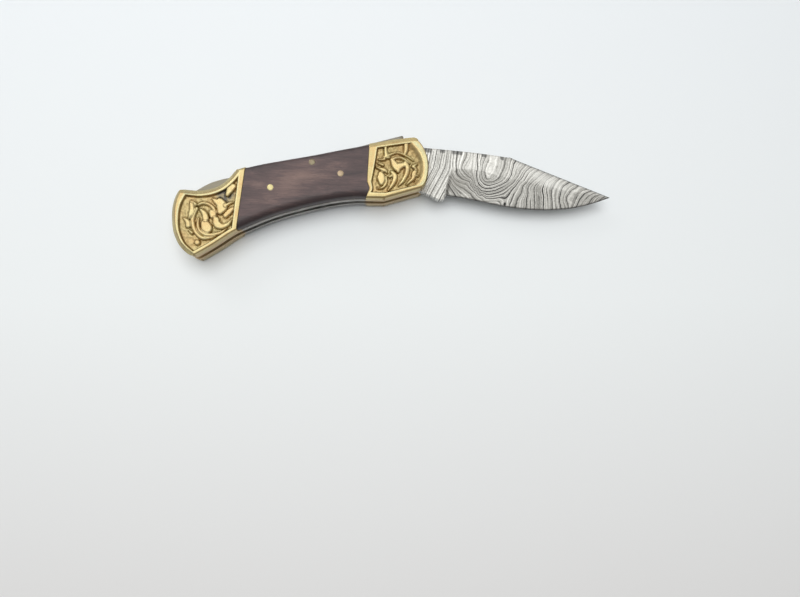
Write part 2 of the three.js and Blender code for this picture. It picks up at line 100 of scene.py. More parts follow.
# %% Helpers that add nodes
def feed(material, node, **inputs):
    """Inputs go by name, with _ for a space, or by place, as in _0."""
    for name, value in inputs.items():
        socket = node.inputs[int(name[1:])] if name[1:].isdigit() else node.inputs[name.replace("_", " ")]
        if isinstance(value, bpy.types.NodeSocket):
            material.node_tree.links.new(value, socket)
        else:
            socket.default_value = value
    return node


def add_node(material, kind, settings=None, **inputs):
    node = material.node_tree.nodes.new(kind)
    for name, value in (settings or {}).items():
        setattr(node, name, value)
    return feed(material, node, **inputs)


def new_material(name, **settings):
    material = bpy.data.materials.new(name)
    material.use_nodes = True
    return material, feed(material, material.node_tree.nodes["Principled BSDF"], **settings)


def attribute(material, name):
    return add_node(material, "ShaderNodeAttribute", {"attribute_name": name}).outputs["Fac"]


def stretched(material, scale=(1, 1, 1), turn=0.0):
    place = add_node(material, "ShaderNodeTexCoord").outputs["Object"]
    node = add_node(material, "ShaderNodeMapping", Vector=place, Scale=scale, Rotation=(0, 0, turn))
    return node.outputs["Vector"]


def noise(material, vector, scale, detail=3.0, roughness=0.55, distortion=0.0):
    node = add_node(material, "ShaderNodeTexNoise", Vector=vector, Scale=scale, Detail=detail)
    return feed(material, node, Roughness=roughness, Distortion=distortion).outputs["Fac"]


def bump(material, shader, height, distance, strength=1.0):
    node = add_node(material, "ShaderNodeBump", Height=height, Strength=strength, Distance=distance)
    feed(material, shader, Normal=node.outputs["Normal"])


# %% [markdown]
# ### Sums and colours
#
# A material may add, multiply and compare values just as a formula does, one node for each sum.
# Colours are read off a screen, so they are turned into amounts of light before a node gets them.

# %% Helpers for sums and colours
SCREEN_GAMMA = 2.2


def maths(material, operation, a, b=0.0, c=0.0):
    return add_node(material, "ShaderNodeMath", {"operation": operation}, _0=a, _1=b, _2=c).outputs[0]


def times(material, a, b):
    return maths(material, "MULTIPLY", a, b)


def plus(material, a, b):
    return maths(material, "ADD", a, b)


def mapped(material, value, reach, onto=(0.0, 1.0), soft=False):
    """Carries one range of a value over to another and stays inside it, with soft ends if asked."""
    settings = {"interpolation_type": "SMOOTHSTEP"} if soft else {}
    node = add_node(material, "ShaderNodeMapRange", settings, Value=value)
    feed(material, node, From_Min=reach[0], From_Max=reach[1], To_Min=onto[0], To_Max=onto[1])
    return node.outputs[0]


def linear(red, green, blue):
    """A colour read off a screen, as the amounts of light that nodes take."""
    return tuple((c / 255) ** SCREEN_GAMMA for c in (red, green, blue))


def ramp(material, factor, stops):
    node = add_node(material, "ShaderNodeValToRGB", Fac=factor)
    elements = node.color_ramp.elements
    while len(elements) < len(stops):
        elements.new(0.5)
    for element, (position, colour) in zip(elements, stops):
        element.position = position
        element.color = (*colour, 1)
    return node.outputs["Color"]


def black_to_white(low, high):
    return [(low, (0, 0, 0)), (high, (1, 1, 1))]


def mix_colours(material, factor, a, b, blend="MIX"):
    a, b = ((*colour, 1) if isinstance(colour, tuple) else colour for colour in (a, b))
    settings = {"data_type": "RGBA", "blend_type": blend}
    return add_node(material, "ShaderNodeMix", settings, _0=factor, _6=a, _7=b).outputs[2]


# %% [markdown]
# ## Light, table and backdrop
#
# The picture was lit by soft daylight from beyond the knife's spine, so the shadow is soft and
# falls towards the belly. Polished metal mirrors the room, while wood and table only gather its
# light, so each kind of ray gets its own share of sky. Metal mirrors a sky that is bright on one
# side and dim on the other, as a room with windows is. Matt surfaces get less of it, and more of
# the lamps below. The camera itself sees an even, pale backdrop.

# %% Sky
SKY_BRIGHT, SKY_DIM = 1.03, 0.30
SKY_TOWARDS = (-0.1, 0.45, 0.89)
SKY_FADE = (-0.3, 0.9)
SKY_ON_MATT = 0.3
DAYLIGHT = (1.0, 0.99, 0.97)
PALE = linear(238, 243, 245)

world = bpy.data.worlds.new("soft_sky")
bpy.context.scene.world = world
world.use_nodes = True
outwards = add_node(world, "ShaderNodeTexCoord").outputs["Generated"]
along_light = add_node(world, "ShaderNodeVectorMath", {"operation": "DOT_PRODUCT"},
                       _0=outwards, _1=SKY_TOWARDS).outputs["Value"]
sky = mapped(world, along_light, SKY_FADE, (SKY_DIM, SKY_BRIGHT))
ray = add_node(world, "ShaderNodeLightPath").outputs
sky = times(world, sky, mapped(world, ray["Is Glossy Ray"], (0.0, 1.0), (SKY_ON_MATT, 1.0)))
sky_strength = maths(world, "MAXIMUM", sky, ray["Is Camera Ray"])
sky_colour = mix_colours(world, ray["Is Camera Ray"], DAYLIGHT, PALE)
feed(world, world.node_tree.nodes["Background"], Strength=sky_strength, Color=sky_colour)
print("sky strength in metal from", SKY_DIM, "to", SKY_BRIGHT, "and on matt surfaces times", SKY_ON_MATT)

# %% [markdown]
# ### Lamps
#
# Two windows draw the highlights on brass and steel. The third lamp stands for the white
# ceiling, whose light makes the tight, soft shadow of the photograph. Metal doesn't mirror it,
# because a round ceiling would show there as a disc.

# %% Lamps
LAMP_DISTANCE = 0.65
LAMP_TINT = (0.985, 1.0, 1.0)
LAMPS = {
    "high_window": dict(size=0.52, power=0.84, towards=(-0.18, 0.29, 0.94), mirrored=True),
    "low_window": dict(size=0.22, power=0.34, towards=(-0.55, 0.62, 0.56), mirrored=True),
    "ceiling_glow": dict(size=0.6, power=3.1, towards=(-0.05, 0.09, 0.99), mirrored=False),
}

for lamp_name, lamp in LAMPS.items():
    lamp_data = bpy.data.lights.new(lamp_name, "AREA")
    lamp_data.shape = "DISK"
    lamp_data.size = lamp["size"]
    lamp_data.energy = lamp["power"]
    lamp_data.color = LAMP_TINT
    lamp_object = bpy.data.objects.new(lamp_name, lamp_data)
    lamp_object.location = Vector(lamp["towards"]).normalized() * LAMP_DISTANCE
    lamp_object.rotation_euler = Vector(lamp["towards"]).to_track_quat("Z", "Y").to_euler()
    lamp_object.visible_glossy = lamp["mirrored"]
    bpy.context.scene.collection.objects.link(lamp_object)
    print(lamp_name, lamp["power"], "W,", lamp["size"], "m wide")

# %% [markdown]
# ### Table
#
# The table is matt and nearly white. Its colour is painted a little darker and warmer on the
# near side, a painted shade for the light falling off there. Away from the knife it turns into
# the colour of the backdrop, but for the camera alone. So no edge and no horizon shows from any
# side, and the light that the table throws back stays as it is.

# %% Table
TABLE_HALF = 1.5
NEAR_SIDE, FAR_SIDE = -0.14, 0.06
# Painted shade: the near side of the table is painted darker, where the light falls off.
TABLE_TONES_WITH_PAINTED_FALLOFF = [(0.0, (0.705, 0.69, 0.685)), (0.55, (0.81, 0.83, 0.835)), (1.0, (0.81, 0.835, 0.855))]
BACKDROP_REACH = (0.16, 0.6)

table_material, table_shader = new_material("pale_table", Roughness=0.9, Specular_IOR_Level=0.1)
on_table = add_node(table_material, "ShaderNodeTexCoord").outputs["Object"]
depth_seen = add_node(table_material, "ShaderNodeSeparateXYZ", Vector=on_table).outputs["Y"]
# How far towards the far side, for the painted shade of the falling light.
painted_falloff_share = mapped(table_material, depth_seen, (NEAR_SIDE, FAR_SIDE))
feed(table_material, table_shader, Base_Color=ramp(table_material, painted_falloff_share, TABLE_TONES_WITH_PAINTED_FALLOFF))

far_off = add_node(table_material, "ShaderNodeVectorMath", {"operation": "LENGTH"}, _0=on_table)
for_camera = add_node(table_material, "ShaderNodeLightPath").outputs["Is Camera Ray"]
backdrop_share = mapped(table_material, far_off.outputs["Value"], BACKDROP_REACH, soft=True)
backdrop_share = times(table_material, backdrop_share, for_camera)
backdrop = add_node(table_material, "ShaderNodeEmission", Color=(*PALE, 1))
table_surface = add_node(table_material, "ShaderNodeMixShader", Fac=backdrop_share,
                         _1=table_shader.outputs["BSDF"], _2=backdrop.outputs["Emission"])
feed(table_material, table_material.node_tree.nodes["Material Output"], Surface=table_surface.outputs[0])

table_mesh = bpy.data.meshes.new("table")
table_corners = [(x * TABLE_HALF, y * TABLE_HALF, 0) for x, y in ((-1, -1), (1, -1), (1, 1), (-1, 1))]
table_mesh.from_pydata(table_corners, [], [(0, 1, 2, 3)])
table_mesh.materials.append(table_material)
table = bpy.data.objects.new("table", table_mesh)
bpy.context.scene.collection.objects.link(table)
print("table", 2 * TABLE_HALF, "m wide")

# %% [markdown]
# ## Outlines
#
# Nothing on this knife is a straight box. Its outline is a chain of smooth curves that meet at
# corners, so it is drawn that way: each side is a few measured points with a smooth curve
# through them. The CAD model has nearly the same curves, with fewer points.

# %% Curve helpers
CURVE_STEPS = 40
NEARLY_STRAIGHT = 0.15


def smooth_curve(points, spacing):
    points = np.array(points, float)
    if len(points) == 2:
        fine = points
    else:
        ends = np.vstack([points[:1], points, points[-1:]])
        t = np.linspace(0, 1, CURVE_STEPS, endpoint=False)[:, None]
        parts = []
        for p0, p1, p2, p3 in zip(ends, ends[1:], ends[2:], ends[3:]):
            slope_a, slope_b = (p2 - p0) / 2, (p3 - p1) / 2
            parts.append((2 * p1 - 2 * p2 + slope_a + slope_b) * t ** 3
                         + (-3 * p1 + 3 * p2 - 2 * slope_a - slope_b) * t ** 2 + slope_a * t + p1)
        fine = np.vstack(parts + [points[-1:]])
    return evenly(fine, spacing)


def length_so_far(line):
    return np.concatenate([[0], np.cumsum(np.linalg.norm(np.diff(line, axis=0), axis=1))])


def evenly(line, spacing):
    lengths = length_so_far(line)
    places = np.linspace(0, lengths[-1], max(2, int(round(lengths[-1] / spacing)) + 1))
    return np.column_stack([np.interp(places, lengths, line[:, k]) for k in (0, 1)])


def even_ring(ring, spacing):
    return evenly(np.vstack([ring, ring[:1]]), spacing)[:-1]


def trimmed(line, start, end):
    lengths = length_so_far(line)
    kept = (lengths > start) & (lengths < lengths[-1] - end)
    at = lambda s: [np.interp(s, lengths, line[:, k]) for k in (0, 1)]
    return np.vstack([[at(start)], line[kept], [at(lengths[-1] - end)]])


def meeting_point(before, after):
    a, b = before[-1] - before[-2], after[1] - after[0]
    turn = (a[0] * b[1] - a[1] * b[0]) / (np.linalg.norm(a) * np.linalg.norm(b))
    if abs(turn) < NEARLY_STRAIGHT:
        return (before[-1] + after[0]) / 2
    along = np.linalg.solve(np.column_stack([a, -b]), after[0] - before[-1])[0]
    return before[-1] + a * along


def closed_outline(sides, spacing):
    """A closed ring through the sides; side["round"] is the corner radius at its start."""
    runs = [smooth_curve(side["points"], spacing / 2) for side in sides]
    corners = [meeting_point(runs[i - 1], runs[i]) for i in range(len(runs))]
    ring = []
    for i, run in enumerate(runs):
        after = (i + 1) % len(runs)
        path = np.vstack([[corners[i]], run[1:-1], [corners[after]]])
        radius, end_radius = (sides[k].get("round", 0) for k in (i, after))
        path = trimmed(path, radius, end_radius)
        if radius:
            before = runs[i - 1][-1] - runs[i - 1][-2]
            start = corners[i] - before / np.linalg.norm(before) * radius
            t = np.linspace(0, 1, max(3, int(radius / spacing * 2)))[:-1, None]
            ring.append((1 - t) ** 2 * start + 2 * t * (1 - t) * corners[i] + t ** 2 * path[0])
        ring.append(path[:-1])
    return even_ring(np.vstack(ring), spacing)


# %% [markdown]
# ### The handle's sides
#
# The sides run round the handle, starting at the butt's lower corner. Bolsters, covers, liners
# and the lock bar all use the same points, so that the pieces meet flush, as on a handle that
# was filed to shape after it was put together.

# %% Handle outline
HANDLE_STEP = 0.3
REAR_BELLY = [(-59.8, -26.3), (-54.0, -22.9), (-49.2, -19.7), (-47.1, -18.5)]
MID_BELLY = [(-47.1, -18.5), (-37.4, -14.4), (-28.1, -11.7), (-20.0, -9.9), (-13.5, -9.1), (-9.85, -9.1)]
FRONT_BELLY = [(-9.85, -9.1), (-4.6, -9.2)]
HEEL = [(-4.6, -9.2), (6.3, -6.1)]
FRONT_ARC = [(6.3, -6.1), (7.6, -4.5), (8.35, -0.9), (8.1, 2.6), (6.9, 5.9), (5.4, 8.0)]
TOP_EDGE = [(4.9, 8.75), (3.6, 8.75), (-2.6, 7.95), (-8.85, 6.9)]
MID_SPINE = [(-8.85, 6.9), (-17.0, 5.4), (-25.0, 3.8), (-33.5, 2.3), (-40.0, 1.1), (-44.8, 0.0)]
REAR_LAND = [(-44.8, 0.0), (-47.6, -0.8)]
THUMB_NOTCH = [(-47.9, -1.0), (-49.6, -3.1), (-51.9, -5.1), (-54.9, -6.35), (-58.3, -6.85), (-63.0, -6.5)]
BUTT_ARC = [(-64.2, -6.4), (-65.6, -10.2), (-65.95, -14.4), (-65.3, -19.2), (-63.2, -23.4), (-59.8, -26.3)]

HANDLE_SIDES = [
    dict(points=REAR_BELLY, round=1.4), dict(points=MID_BELLY), dict(points=FRONT_BELLY), dict(points=HEEL),
    dict(points=FRONT_ARC, round=0.8), dict(points=TOP_EDGE, round=1.0), dict(points=MID_SPINE),
    dict(points=REAR_LAND), dict(points=THUMB_NOTCH, round=0.7), dict(points=BUTT_ARC, round=2.0),
]
handle_ring = closed_outline(HANDLE_SIDES, HANDLE_STEP)
print("handle outline:", len(handle_ring), "points")
print("it reaches from", handle_ring.min(0).round(2), "to", handle_ring.max(0).round(2))

# %% [markdown]
# ## Turning an outline into a solid with relief
#
# Most pieces of the knife are flat stock whose faces were ground, rounded or carved. A dense
# triangle net over the outline, with each point lifted to the height of the face, holds all of
# that in real geometry, so the carving also shows in a low side view, where a bump map would
# look flat. The net is a little finer than the smallest cut.

# %% Net over an outline
CREASE_ROOM, FREE_ROOM = 0.5, 0.55
AT_ONCE = 200


def inside_rings(points, rings):
    count = np.zeros(len(points), int)
    for ring in rings:
        for a, b in zip(ring, np.roll(ring, -1, axis=0)):
            straddles = (a[1] > points[:, 1]) != (b[1] > points[:, 1])
            if a[1] == b[1]:
                continue
            cross = (b[0] - a[0]) * (points[:, 1] - a[1]) / (b[1] - a[1]) + a[0]
            count += straddles & (points[:, 0] < cross)
    return count % 2 == 1


def distance_to(points, line, closed=False):
    """Distance from each point to a line, and how far along the line the nearest place is."""
    if closed:
        line = np.vstack([line, line[:1]])
    best = np.full(len(points), np.inf)
    share = np.zeros(len(points))
    lengths = length_so_far(line)
    for i in range(len(line) - 1):
        step = line[i + 1] - line[i]
        t = np.clip(((points - line[i]) @ step) / max(step @ step, 1e-12), 0, 1)
        d = np.linalg.norm(points - line[i] - t[:, None] * step, axis=1)
        nearer = d < best
        best = np.where(nearer, d, best)
        share = np.where(nearer, (lengths[i] + t * (lengths[i + 1] - lengths[i])) / lengths[-1], share)
    return best, share


def net_over(rings, spacing, creases=()):
    low, high = rings[0].min(0), rings[0].max(0)
    row_step = spacing * math.sqrt(3) / 2
    rows = np.arange(low[1], high[1], row_step)
    columns = np.arange(low[0], high[0] + spacing, spacing)
    grid = np.vstack([np.column_stack([columns + (r % 2) * spacing / 2, np.full(len(columns), y)])
                      for r, y in enumerate(rows)])
    grid = grid[inside_rings(grid, rings)]
    fixed = [np.array(ring) for ring in rings]
    for line in creases:
        line = evenly(np.array(line), spacing)
        line = line[inside_rings(line, rings)]
        for ring in rings:
            line = line[distance_to(line, ring, True)[0] > spacing * CREASE_ROOM]
        fixed.append(line)
    for line in fixed:
        if len(line):
            grid = grid[nearest_gap(grid, line) > spacing * FREE_ROOM]
    points = np.vstack(fixed + [grid])
    edges = []
    start = 0
    for ring in rings:
        count = len(ring)
        edges += [(start + k, start + (k + 1) % count) for k in range(count)]
        start += count
    flat, _, triangles, *_ = geometry.delaunay_2d_cdt([Vector(p) for p in points], edges, [], 0, 1e-6, False)
    points = np.array([tuple(p) for p in flat])
    triangles = np.array([t for t in triangles if len(t) == 3])
    triangles = triangles[inside_rings(points[triangles].mean(axis=1), rings)]
    return points, triangles


def nearest_gap(points, line):
    best = np.full(len(points), np.inf)
    for chunk in np.array_split(line, max(1, len(line) // AT_ONCE)):
        if len(chunk):
            gap = np.linalg.norm(points[:, None, :] - chunk[None], axis=2).min(axis=1)
            best = np.minimum(best, gap)
    return best


# %% [markdown]
# ### From a net to a piece
#
# A piece has an upper face, a lower face and a wall round its rim, so it is a closed solid. Its
# vertices carry named values, which the materials read, since wear and carving belong to a
# place on the piece. Each piece then says which body it moves with and what it stands for.

# %% From net to mesh object
def make_object(name, vertices, faces, material, attributes=None, sharp=35):
    mesh = bpy.data.meshes.new(name)
    mesh.from_pydata([tuple(pivot + Vector(v) * MM) for v in vertices.tolist()], [], faces)
    mesh.polygons.foreach_set("use_smooth", [True] * len(mesh.polygons))
    mesh.set_sharp_from_angle(angle=math.radians(sharp))
    for key, values in (attributes or {}).items():
        mesh.attributes.new(key, "FLOAT", "POINT").data.foreach_set("value", np.asarray(values, np.float32))
    mesh.materials.append(material)
    obj = bpy.data.objects.new(name, mesh)
    bpy.context.scene.collection.objects.link(obj)
    print(name, len(mesh.polygons), "faces")
    return obj


def relief_solid(name, net, top, bottom, material, attributes=None, flip=False, sharp=35):
    """A solid over a net: top and bottom are heights at its points. flip mirrors it to the other side."""
    points, triangles = net
    count = len(points)
    sign = -1 if flip else 1
    bottom = np.broadcast_to(bottom, (count,))
    directed = {}
    for a, b, c in triangles.tolist():
        for edge in ((a, b), (b, c), (c, a)):
            directed[edge] = True
    rim = [(a, b) for a, b in directed if (b, a) not in directed]
    upper = np.column_stack([points, top * sign])
    lower = np.column_stack([points, bottom * sign])
    walls = [(a + count, b + count, b, a) for a, b in rim]
    faces = triangles.tolist() + (triangles[:, ::-1] + count).tolist() + walls
    if flip:
        faces = [face[::-1] for face in faces]
    vertices = np.vstack([upper, lower])
    doubled = {key: np.concatenate([values, values]) for key, values in (attributes or {}).items()}
    return make_object(name, vertices, faces, material, doubled, sharp)


def dress(obj, body, slot, *nodes):
    """The piece rides on its body and stands for its CAD nodes, which it hides. Its slot is not used."""
    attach(obj, body)
    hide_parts(*nodes)


def smoothstep(value, low=0.0, high=1.0):
    t = np.clip((value - low) / (high - low), 0, 1)
    return t * t * (3 - 2 * t)


def rounded(distance, width, drop):
    """How far a face has fallen at this distance from its edge, for a quarter-round edge."""
    t = np.clip(1 - distance / width, 0, 1)
    return drop * (1 - np.sqrt(1 - t * t))


# %% [markdown]
# ## Thickness
#
# From the middle plane outwards: half the blade, a hair of clearance, a steel liner, then the
# brass or wood. The frame carries those levels already, so they are read from its boxes, and
# only the liner's own thickness is given here.

# %% Levels from the frame
LINER_THICKNESS = 1.5


def half_height(node):
    return max(abs(corner[2] - pivot[2]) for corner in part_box(node)) / MM


HALF_BLADE = half_height("blade")
LINER_TOP = half_height("upper_liner")
LINER_BOTTOM = LINER_TOP - LINER_THICKNESS
BOLSTER_TOP = half_height("upper_front_bolster")
SCALE_TOP = half_height("upper_scale")
print("levels, mm:", [round(v, 2) for v in (HALF_BLADE, LINER_BOTTOM, LINER_TOP, SCALE_TOP, BOLSTER_TOP)])

# %% [markdown]
# ## Brass
#
# The bolsters are cast and hand-cut brass: pale in rubbed patches, yellow on the leaves, and
# brown in the cuts, where polish never reaches. The carving leaves on every vertex a value for
# how aged the brass is there, which also carries painted light: a painted highlight along the
# ridge of each rim, and painted shade on the panel walls and on steep bevels. The material goes
# brown above 0 and pale below it. Fine cross scratches and cloudy roughness keep the flat rims
# from looking like plastic.

# %% Brass material
BRASS_BRIGHT = linear(194, 181, 134)
BRASS_WARM = linear(178, 152, 108)
# The pale colour serves rubbed patches and the painted highlight on the ridge of each rim.
BRASS_PALE_WEAR_AND_HIGHLIGHT = linear(174, 174, 140)
BRASS_AGED_AND_SHADED = linear(106, 80, 40)
VERDIGRIS = linear(82, 82, 82)
POLISHED, CLOUDY, DIRTY = 0.16, 0.2, 0.3


def make_brass(name, bright, warm, age_and_painted_light):
    material, shader = new_material(name, Metallic=1.0)
    cloud = noise(material, stretched(material), 260, 4)
    scratches = noise(material, stretched(material, (60, 900, 400), 0.5), 10, 3)
    other_way = noise(material, stretched(material, (900, 70, 400), 0.35), 8, 3)
    streaks = times(material, plus(material, scratches, other_way), 0.5)
    patchy = times(material, plus(material, cloud, streaks), 0.5)
    colour = mix_colours(material, ramp(material, patchy, black_to_white(0.42, 0.58)), warm, bright)

    age_light_value = attribute(material, "age_and_painted_light")
    uneven = times(material, maths(material, "SUBTRACT", cloud, 0.5), 0.5)
    grime_and_shade = plus(material, age_light_value, uneven)
    # Pale brass where the value falls below 0: a painted highlight on the rims' ridges, and rubbed patches.
    pale_wear_and_highlight = times(material, grime_and_shade, -4.0)
    pale_wear_and_highlight.node.use_clamp = True
    colour = mix_colours(material, pale_wear_and_highlight, colour, BRASS_PALE_WEAR_AND_HIGHLIGHT)
    # Brown for patina in the cuts and ground, and for painted shade on walls and steep bevels.
    colour = mix_colours(material, ramp(material, grime_and_shade, black_to_white(0.05, 0.95)), colour, age_and_painted_light)
    colour = mix_colours(material, attribute(material, "tarnish"), colour, VERDIGRIS)

    rough = maths(material, "MULTIPLY_ADD", cloud, CLOUDY, POLISHED)
    rough = plus(material, rough, times(material, maths(material, "MAXIMUM", age_light_value, 0.0), DIRTY))
    feed(material, shader, Base_Color=colour, Roughness=rough)
    waviness = noise(material, stretched(material), 320, 1, 0.4)
    bump(material, shader, plus(material, waviness, times(material, streaks, 0.3)), 0.2 * MM, 0.8)
    print(name, "made")
    return material


brass = make_brass("carved_brass", BRASS_BRIGHT, BRASS_WARM, BRASS_AGED_AND_SHADED)

# %% [markdown]
# ## Carved bolsters
#
# Each bolster is a brass plate with a bevelled rim round a sunk panel, and leafy scrolls stand
# up from the panel floor. Such scrollwork is traditional on small knives. It is described the
# way an engraver draws it: a stroke is a curve with a width that swells and thins. The height
# of the face at any point then follows from its distance to the sides and to the strokes.

# %% Strokes and punch marks
LEAF_SPREAD = 0.15
STROKE_STEP = 0.12
PUNCH_REACH = 0.5
PUNCHES_PER_AREA = 1.6


def stroke_samples(points, widths):
    line = smooth_curve(points, STROKE_STEP)
    places = np.linspace(0, len(widths) - 1, len(line))
    return line, np.interp(places, np.arange(len(widths)), widths) / 2 + LEAF_SPREAD


def depth_inside(points, leaf):
    """How far each point lies inside the strokes of one leaf, and how wide the leaf is."""
    inside, widest = np.full(len(points), -np.inf), 0
    for places, widths in leaf:
        line, reach = stroke_samples(places, widths)
        widest = max(widest, reach.max())
        for centre, radius in zip(line, reach):
            inside = np.maximum(inside, radius - np.linalg.norm(points - centre, axis=1))
    return inside, widest


def hammered(points, rng):
    """Shallow punch marks: distance to scattered punch places."""
    low, high = points.min(0), points.max(0)
    punches = rng.uniform(low, high, (int(np.prod(high - low) * PUNCHES_PER_AREA), 2))
    return 1 - np.clip(nearest_gap(points, punches) / PUNCH_REACH, 0, 1) ** 2


# %% [markdown]
# ### Bevels and rims
#
# A file leaves each side of a bolster its own bevel, and a graver leaves a rim that may narrow
# along the side. So a side is a curve with the width and depth of its bevel, and a few rim
# widths from its start to its end. Some steep bevels, mostly those towards the belly, get
# painted shade, darker brass where they face away from the light.

# %% Bevels, rims and panel
SIDE_STEP = 0.4
BEVEL_SWELL = 1.15
PLAIN_WALL = 0.4


def filed_sides(points, sides):
    """Fall of the bevels, depth into the panel, how bevelled each point is, and its painted shade on a bevel.
    """
    fall, bevelled, painted_bevel_shade = np.zeros((3, len(points)))
    panel = np.full(len(points), np.inf)
    for side in sides:
        distance, share = distance_to(points, smooth_curve(side["points"], SIDE_STEP))
        slope = np.clip(1 - distance / side["bevel"], 0, 1)
        fall = np.maximum(fall, side["drop"] * slope ** BEVEL_SWELL)
        bevelled = np.maximum(bevelled, smoothstep(slope, 0.05, 0.6) * min(side["bevel"], 1))
        # Painted shade on the middle of steep bevels that face away from the light, mostly towards the belly.
        mid_bevel = smoothstep(slope, 0.05, 0.5) * (1 - smoothstep(slope, 0.8, 1))
        painted_bevel_shade = np.maximum(painted_bevel_shade, side.get("painted_bevel_shade", 0) * mid_bevel)
        if "rim" in side:
            rim = np.interp(share, np.linspace(0, 1, len(side["rim"])), side["rim"])
            panel = np.minimum(panel, (distance - rim) / side.get("wall", PLAIN_WALL))
    return fall, panel, bevelled, painted_bevel_shade


# %% [markdown]
# ### Leaves
#
# A carver rounds each leaf over and cuts close round it, so that it stands free of the ground.
# Here a leaf is a dome over its strokes, with a fine cut beside it. The carving also sets the
# brass's age: yellow on the domes and brown beside them. It paints light too: a pale painted
# highlight on the ridge of the rim, and painted shade on the panel's sloping walls.

# %% Carving
PANEL_DEPTH, PUNCH_DEPTH = 0.75, 0.07
LEAF_TOP, LEAF_SHOULDER = 0.14, 0.6
CUT_DEPTH, CUT_WIDTH = 0.1, 0.11
IN_PANEL = 0.35
PALEST, DARKEST = -0.4, 1
# Among these tones the ridge is a painted highlight and the wall is painted shade on the panel's sloping
# walls. Flat faces are painted a little darker and bevels a little paler, as painted shade and painted light
# that temper the lamp's reflection. The other tones are patina and wear.
AGE_AND_PAINTED_LIGHT = dict(flat=0.16, bevel=-0.05, ridge_highlight=-0.32, ground=0.1, punched=0.2, wall=0.18,
           leaf_foot=0.22, leaf_polish=0.2, leaf_side=0.16, cut=0.14)


def carve_leaf(points, leaf, face, age_and_painted_light, sunk, in_panel, grime_and_shade):
    inside, widest = depth_inside(points, leaf)
    near = in_panel & (inside > -1.0)
    cut = np.exp(-((inside + CUT_WIDTH) / CUT_WIDTH) ** 2)
    shoulder = min(LEAF_SHOULDER, widest * 0.9)
    dome = np.sqrt(np.clip(1 - (1 - np.clip(inside / shoulder, 0, 1)) ** 2, 0, 1))
    lifted = -PANEL_DEPTH + (PANEL_DEPTH - LEAF_TOP) * dome
    carved = np.where(inside > 0, np.maximum(face, lifted), face - CUT_DEPTH * cut * sunk)
    on_leaf = AGE_AND_PAINTED_LIGHT["leaf_foot"] - AGE_AND_PAINTED_LIGHT["leaf_polish"] * grime_and_shade * dome
    beside = np.maximum(age_and_painted_light, grime_and_shade * (AGE_AND_PAINTED_LIGHT["leaf_side"] + AGE_AND_PAINTED_LIGHT["cut"] * cut))
    tone = np.where(inside > 0, on_leaf, beside)
    age_and_painted_light = np.where(near & (inside > -2 * CUT_WIDTH), tone, age_and_painted_light)
    return np.where(near, carved, face), age_and_painted_light


def carved_face(points, sides, leaves, grime_and_shade, seed):
    """Height of a bolster's face from its top, and how aged the brass is there, with painted highlight and
    painted shade in the same value.
    """
    fall, panel, bevelled, painted_bevel_shade = filed_sides(points, sides)
    sunk = smoothstep(panel)
    stipple = hammered(points, np.random.default_rng(seed))
    face = -fall - PANEL_DEPTH * sunk - PUNCH_DEPTH * stipple * sunk
    # Painted highlight: a pale line along the ridge of each rim, next to the panel.
    ridge_highlight = np.exp(-((panel + 0.35) / 0.5) ** 2) * (1 - smoothstep(bevelled, 0.3, 0.9))
    # Painted shade on the panel's sloping inner walls.
    wall = smoothstep(panel, -0.05, 0.35) * (1 - smoothstep(panel, 0.75, 1.5))
    # Flat faces painted darker and bevels paler, with the ridge's painted highlight and the bevels' painted
    # shade.
    age_and_painted_light = AGE_AND_PAINTED_LIGHT["flat"] * (1 - bevelled) + AGE_AND_PAINTED_LIGHT["bevel"] * bevelled + AGE_AND_PAINTED_LIGHT["ridge_highlight"] * ridge_highlight + painted_bevel_shade
    age_and_painted_light = age_and_painted_light + grime_and_shade * (sunk * (AGE_AND_PAINTED_LIGHT["ground"] + AGE_AND_PAINTED_LIGHT["punched"] * stipple) + AGE_AND_PAINTED_LIGHT["wall"] * wall)
    in_panel = panel > IN_PANEL
    for leaf in leaves:
        face, age_and_painted_light = carve_leaf(points, leaf, face, age_and_painted_light, sunk, in_panel, grime_and_shade)
    return face, np.clip(age_and_painted_light, PALEST, DARKEST)


# %% [markdown]
# ### A pair of bolsters
#
# The upper and the lower bolster are mirror images, so one net and one face serve both. Creases
# in the net run along the foot of each bevel, so that the rims have crisp edges.

# %% Bolster pair
RELIEF_NET = 0.13
STAIN_STRENGTH = 0.9


def bevel_foot(side):
    run = smooth_curve(side["points"], RELIEF_NET)
    across = np.column_stack([-np.gradient(run[:, 1]), np.gradient(run[:, 0])])
    across /= np.linalg.norm(across, axis=1)[:, None]
    return run + across * side["bevel"]


def bolster_pair(end, sides, leaves, grime_and_shade, seed, stain=None):
    """The grime value sets how much dirt the carving holds and how much painted shade its panel walls get;
    stain is a place and reach of grey tarnish.
    """
    net = net_over([closed_outline(sides, RELIEF_NET)], RELIEF_NET, [bevel_foot(side) for side in sides])
    face, age_and_painted_light = carved_face(net[0], sides, leaves, grime_and_shade, seed)
    tarnish = np.zeros(len(age_and_painted_light))
    if stain:
        from_stain = np.linalg.norm(net[0] - stain[:2], axis=1) / stain[2]
        tarnish = STAIN_STRENGTH * (1 - smoothstep(from_stain, 0.4, 1.0)) * smoothstep(age_and_painted_light, 0.12, 0.3)
    for name, flip in ((f"upper_{end}_bolster", False), (f"lower_{end}_bolster", True)):
        obj = relief_solid(name + "_carved", net, BOLSTER_TOP + face, LINER_TOP, brass,
                           {"age_and_painted_light": age_and_painted_light, "tarnish": tarnish}, flip)
        dress(obj, "handle", "bolster_brass", name)


# %% [markdown]
# ### Front bolster
#
# The front bolster holds the pivot pin and ends in a round nose beside the blade. Each of its
# leaves was read off the photograph as strokes from root to tip, with the width along each.

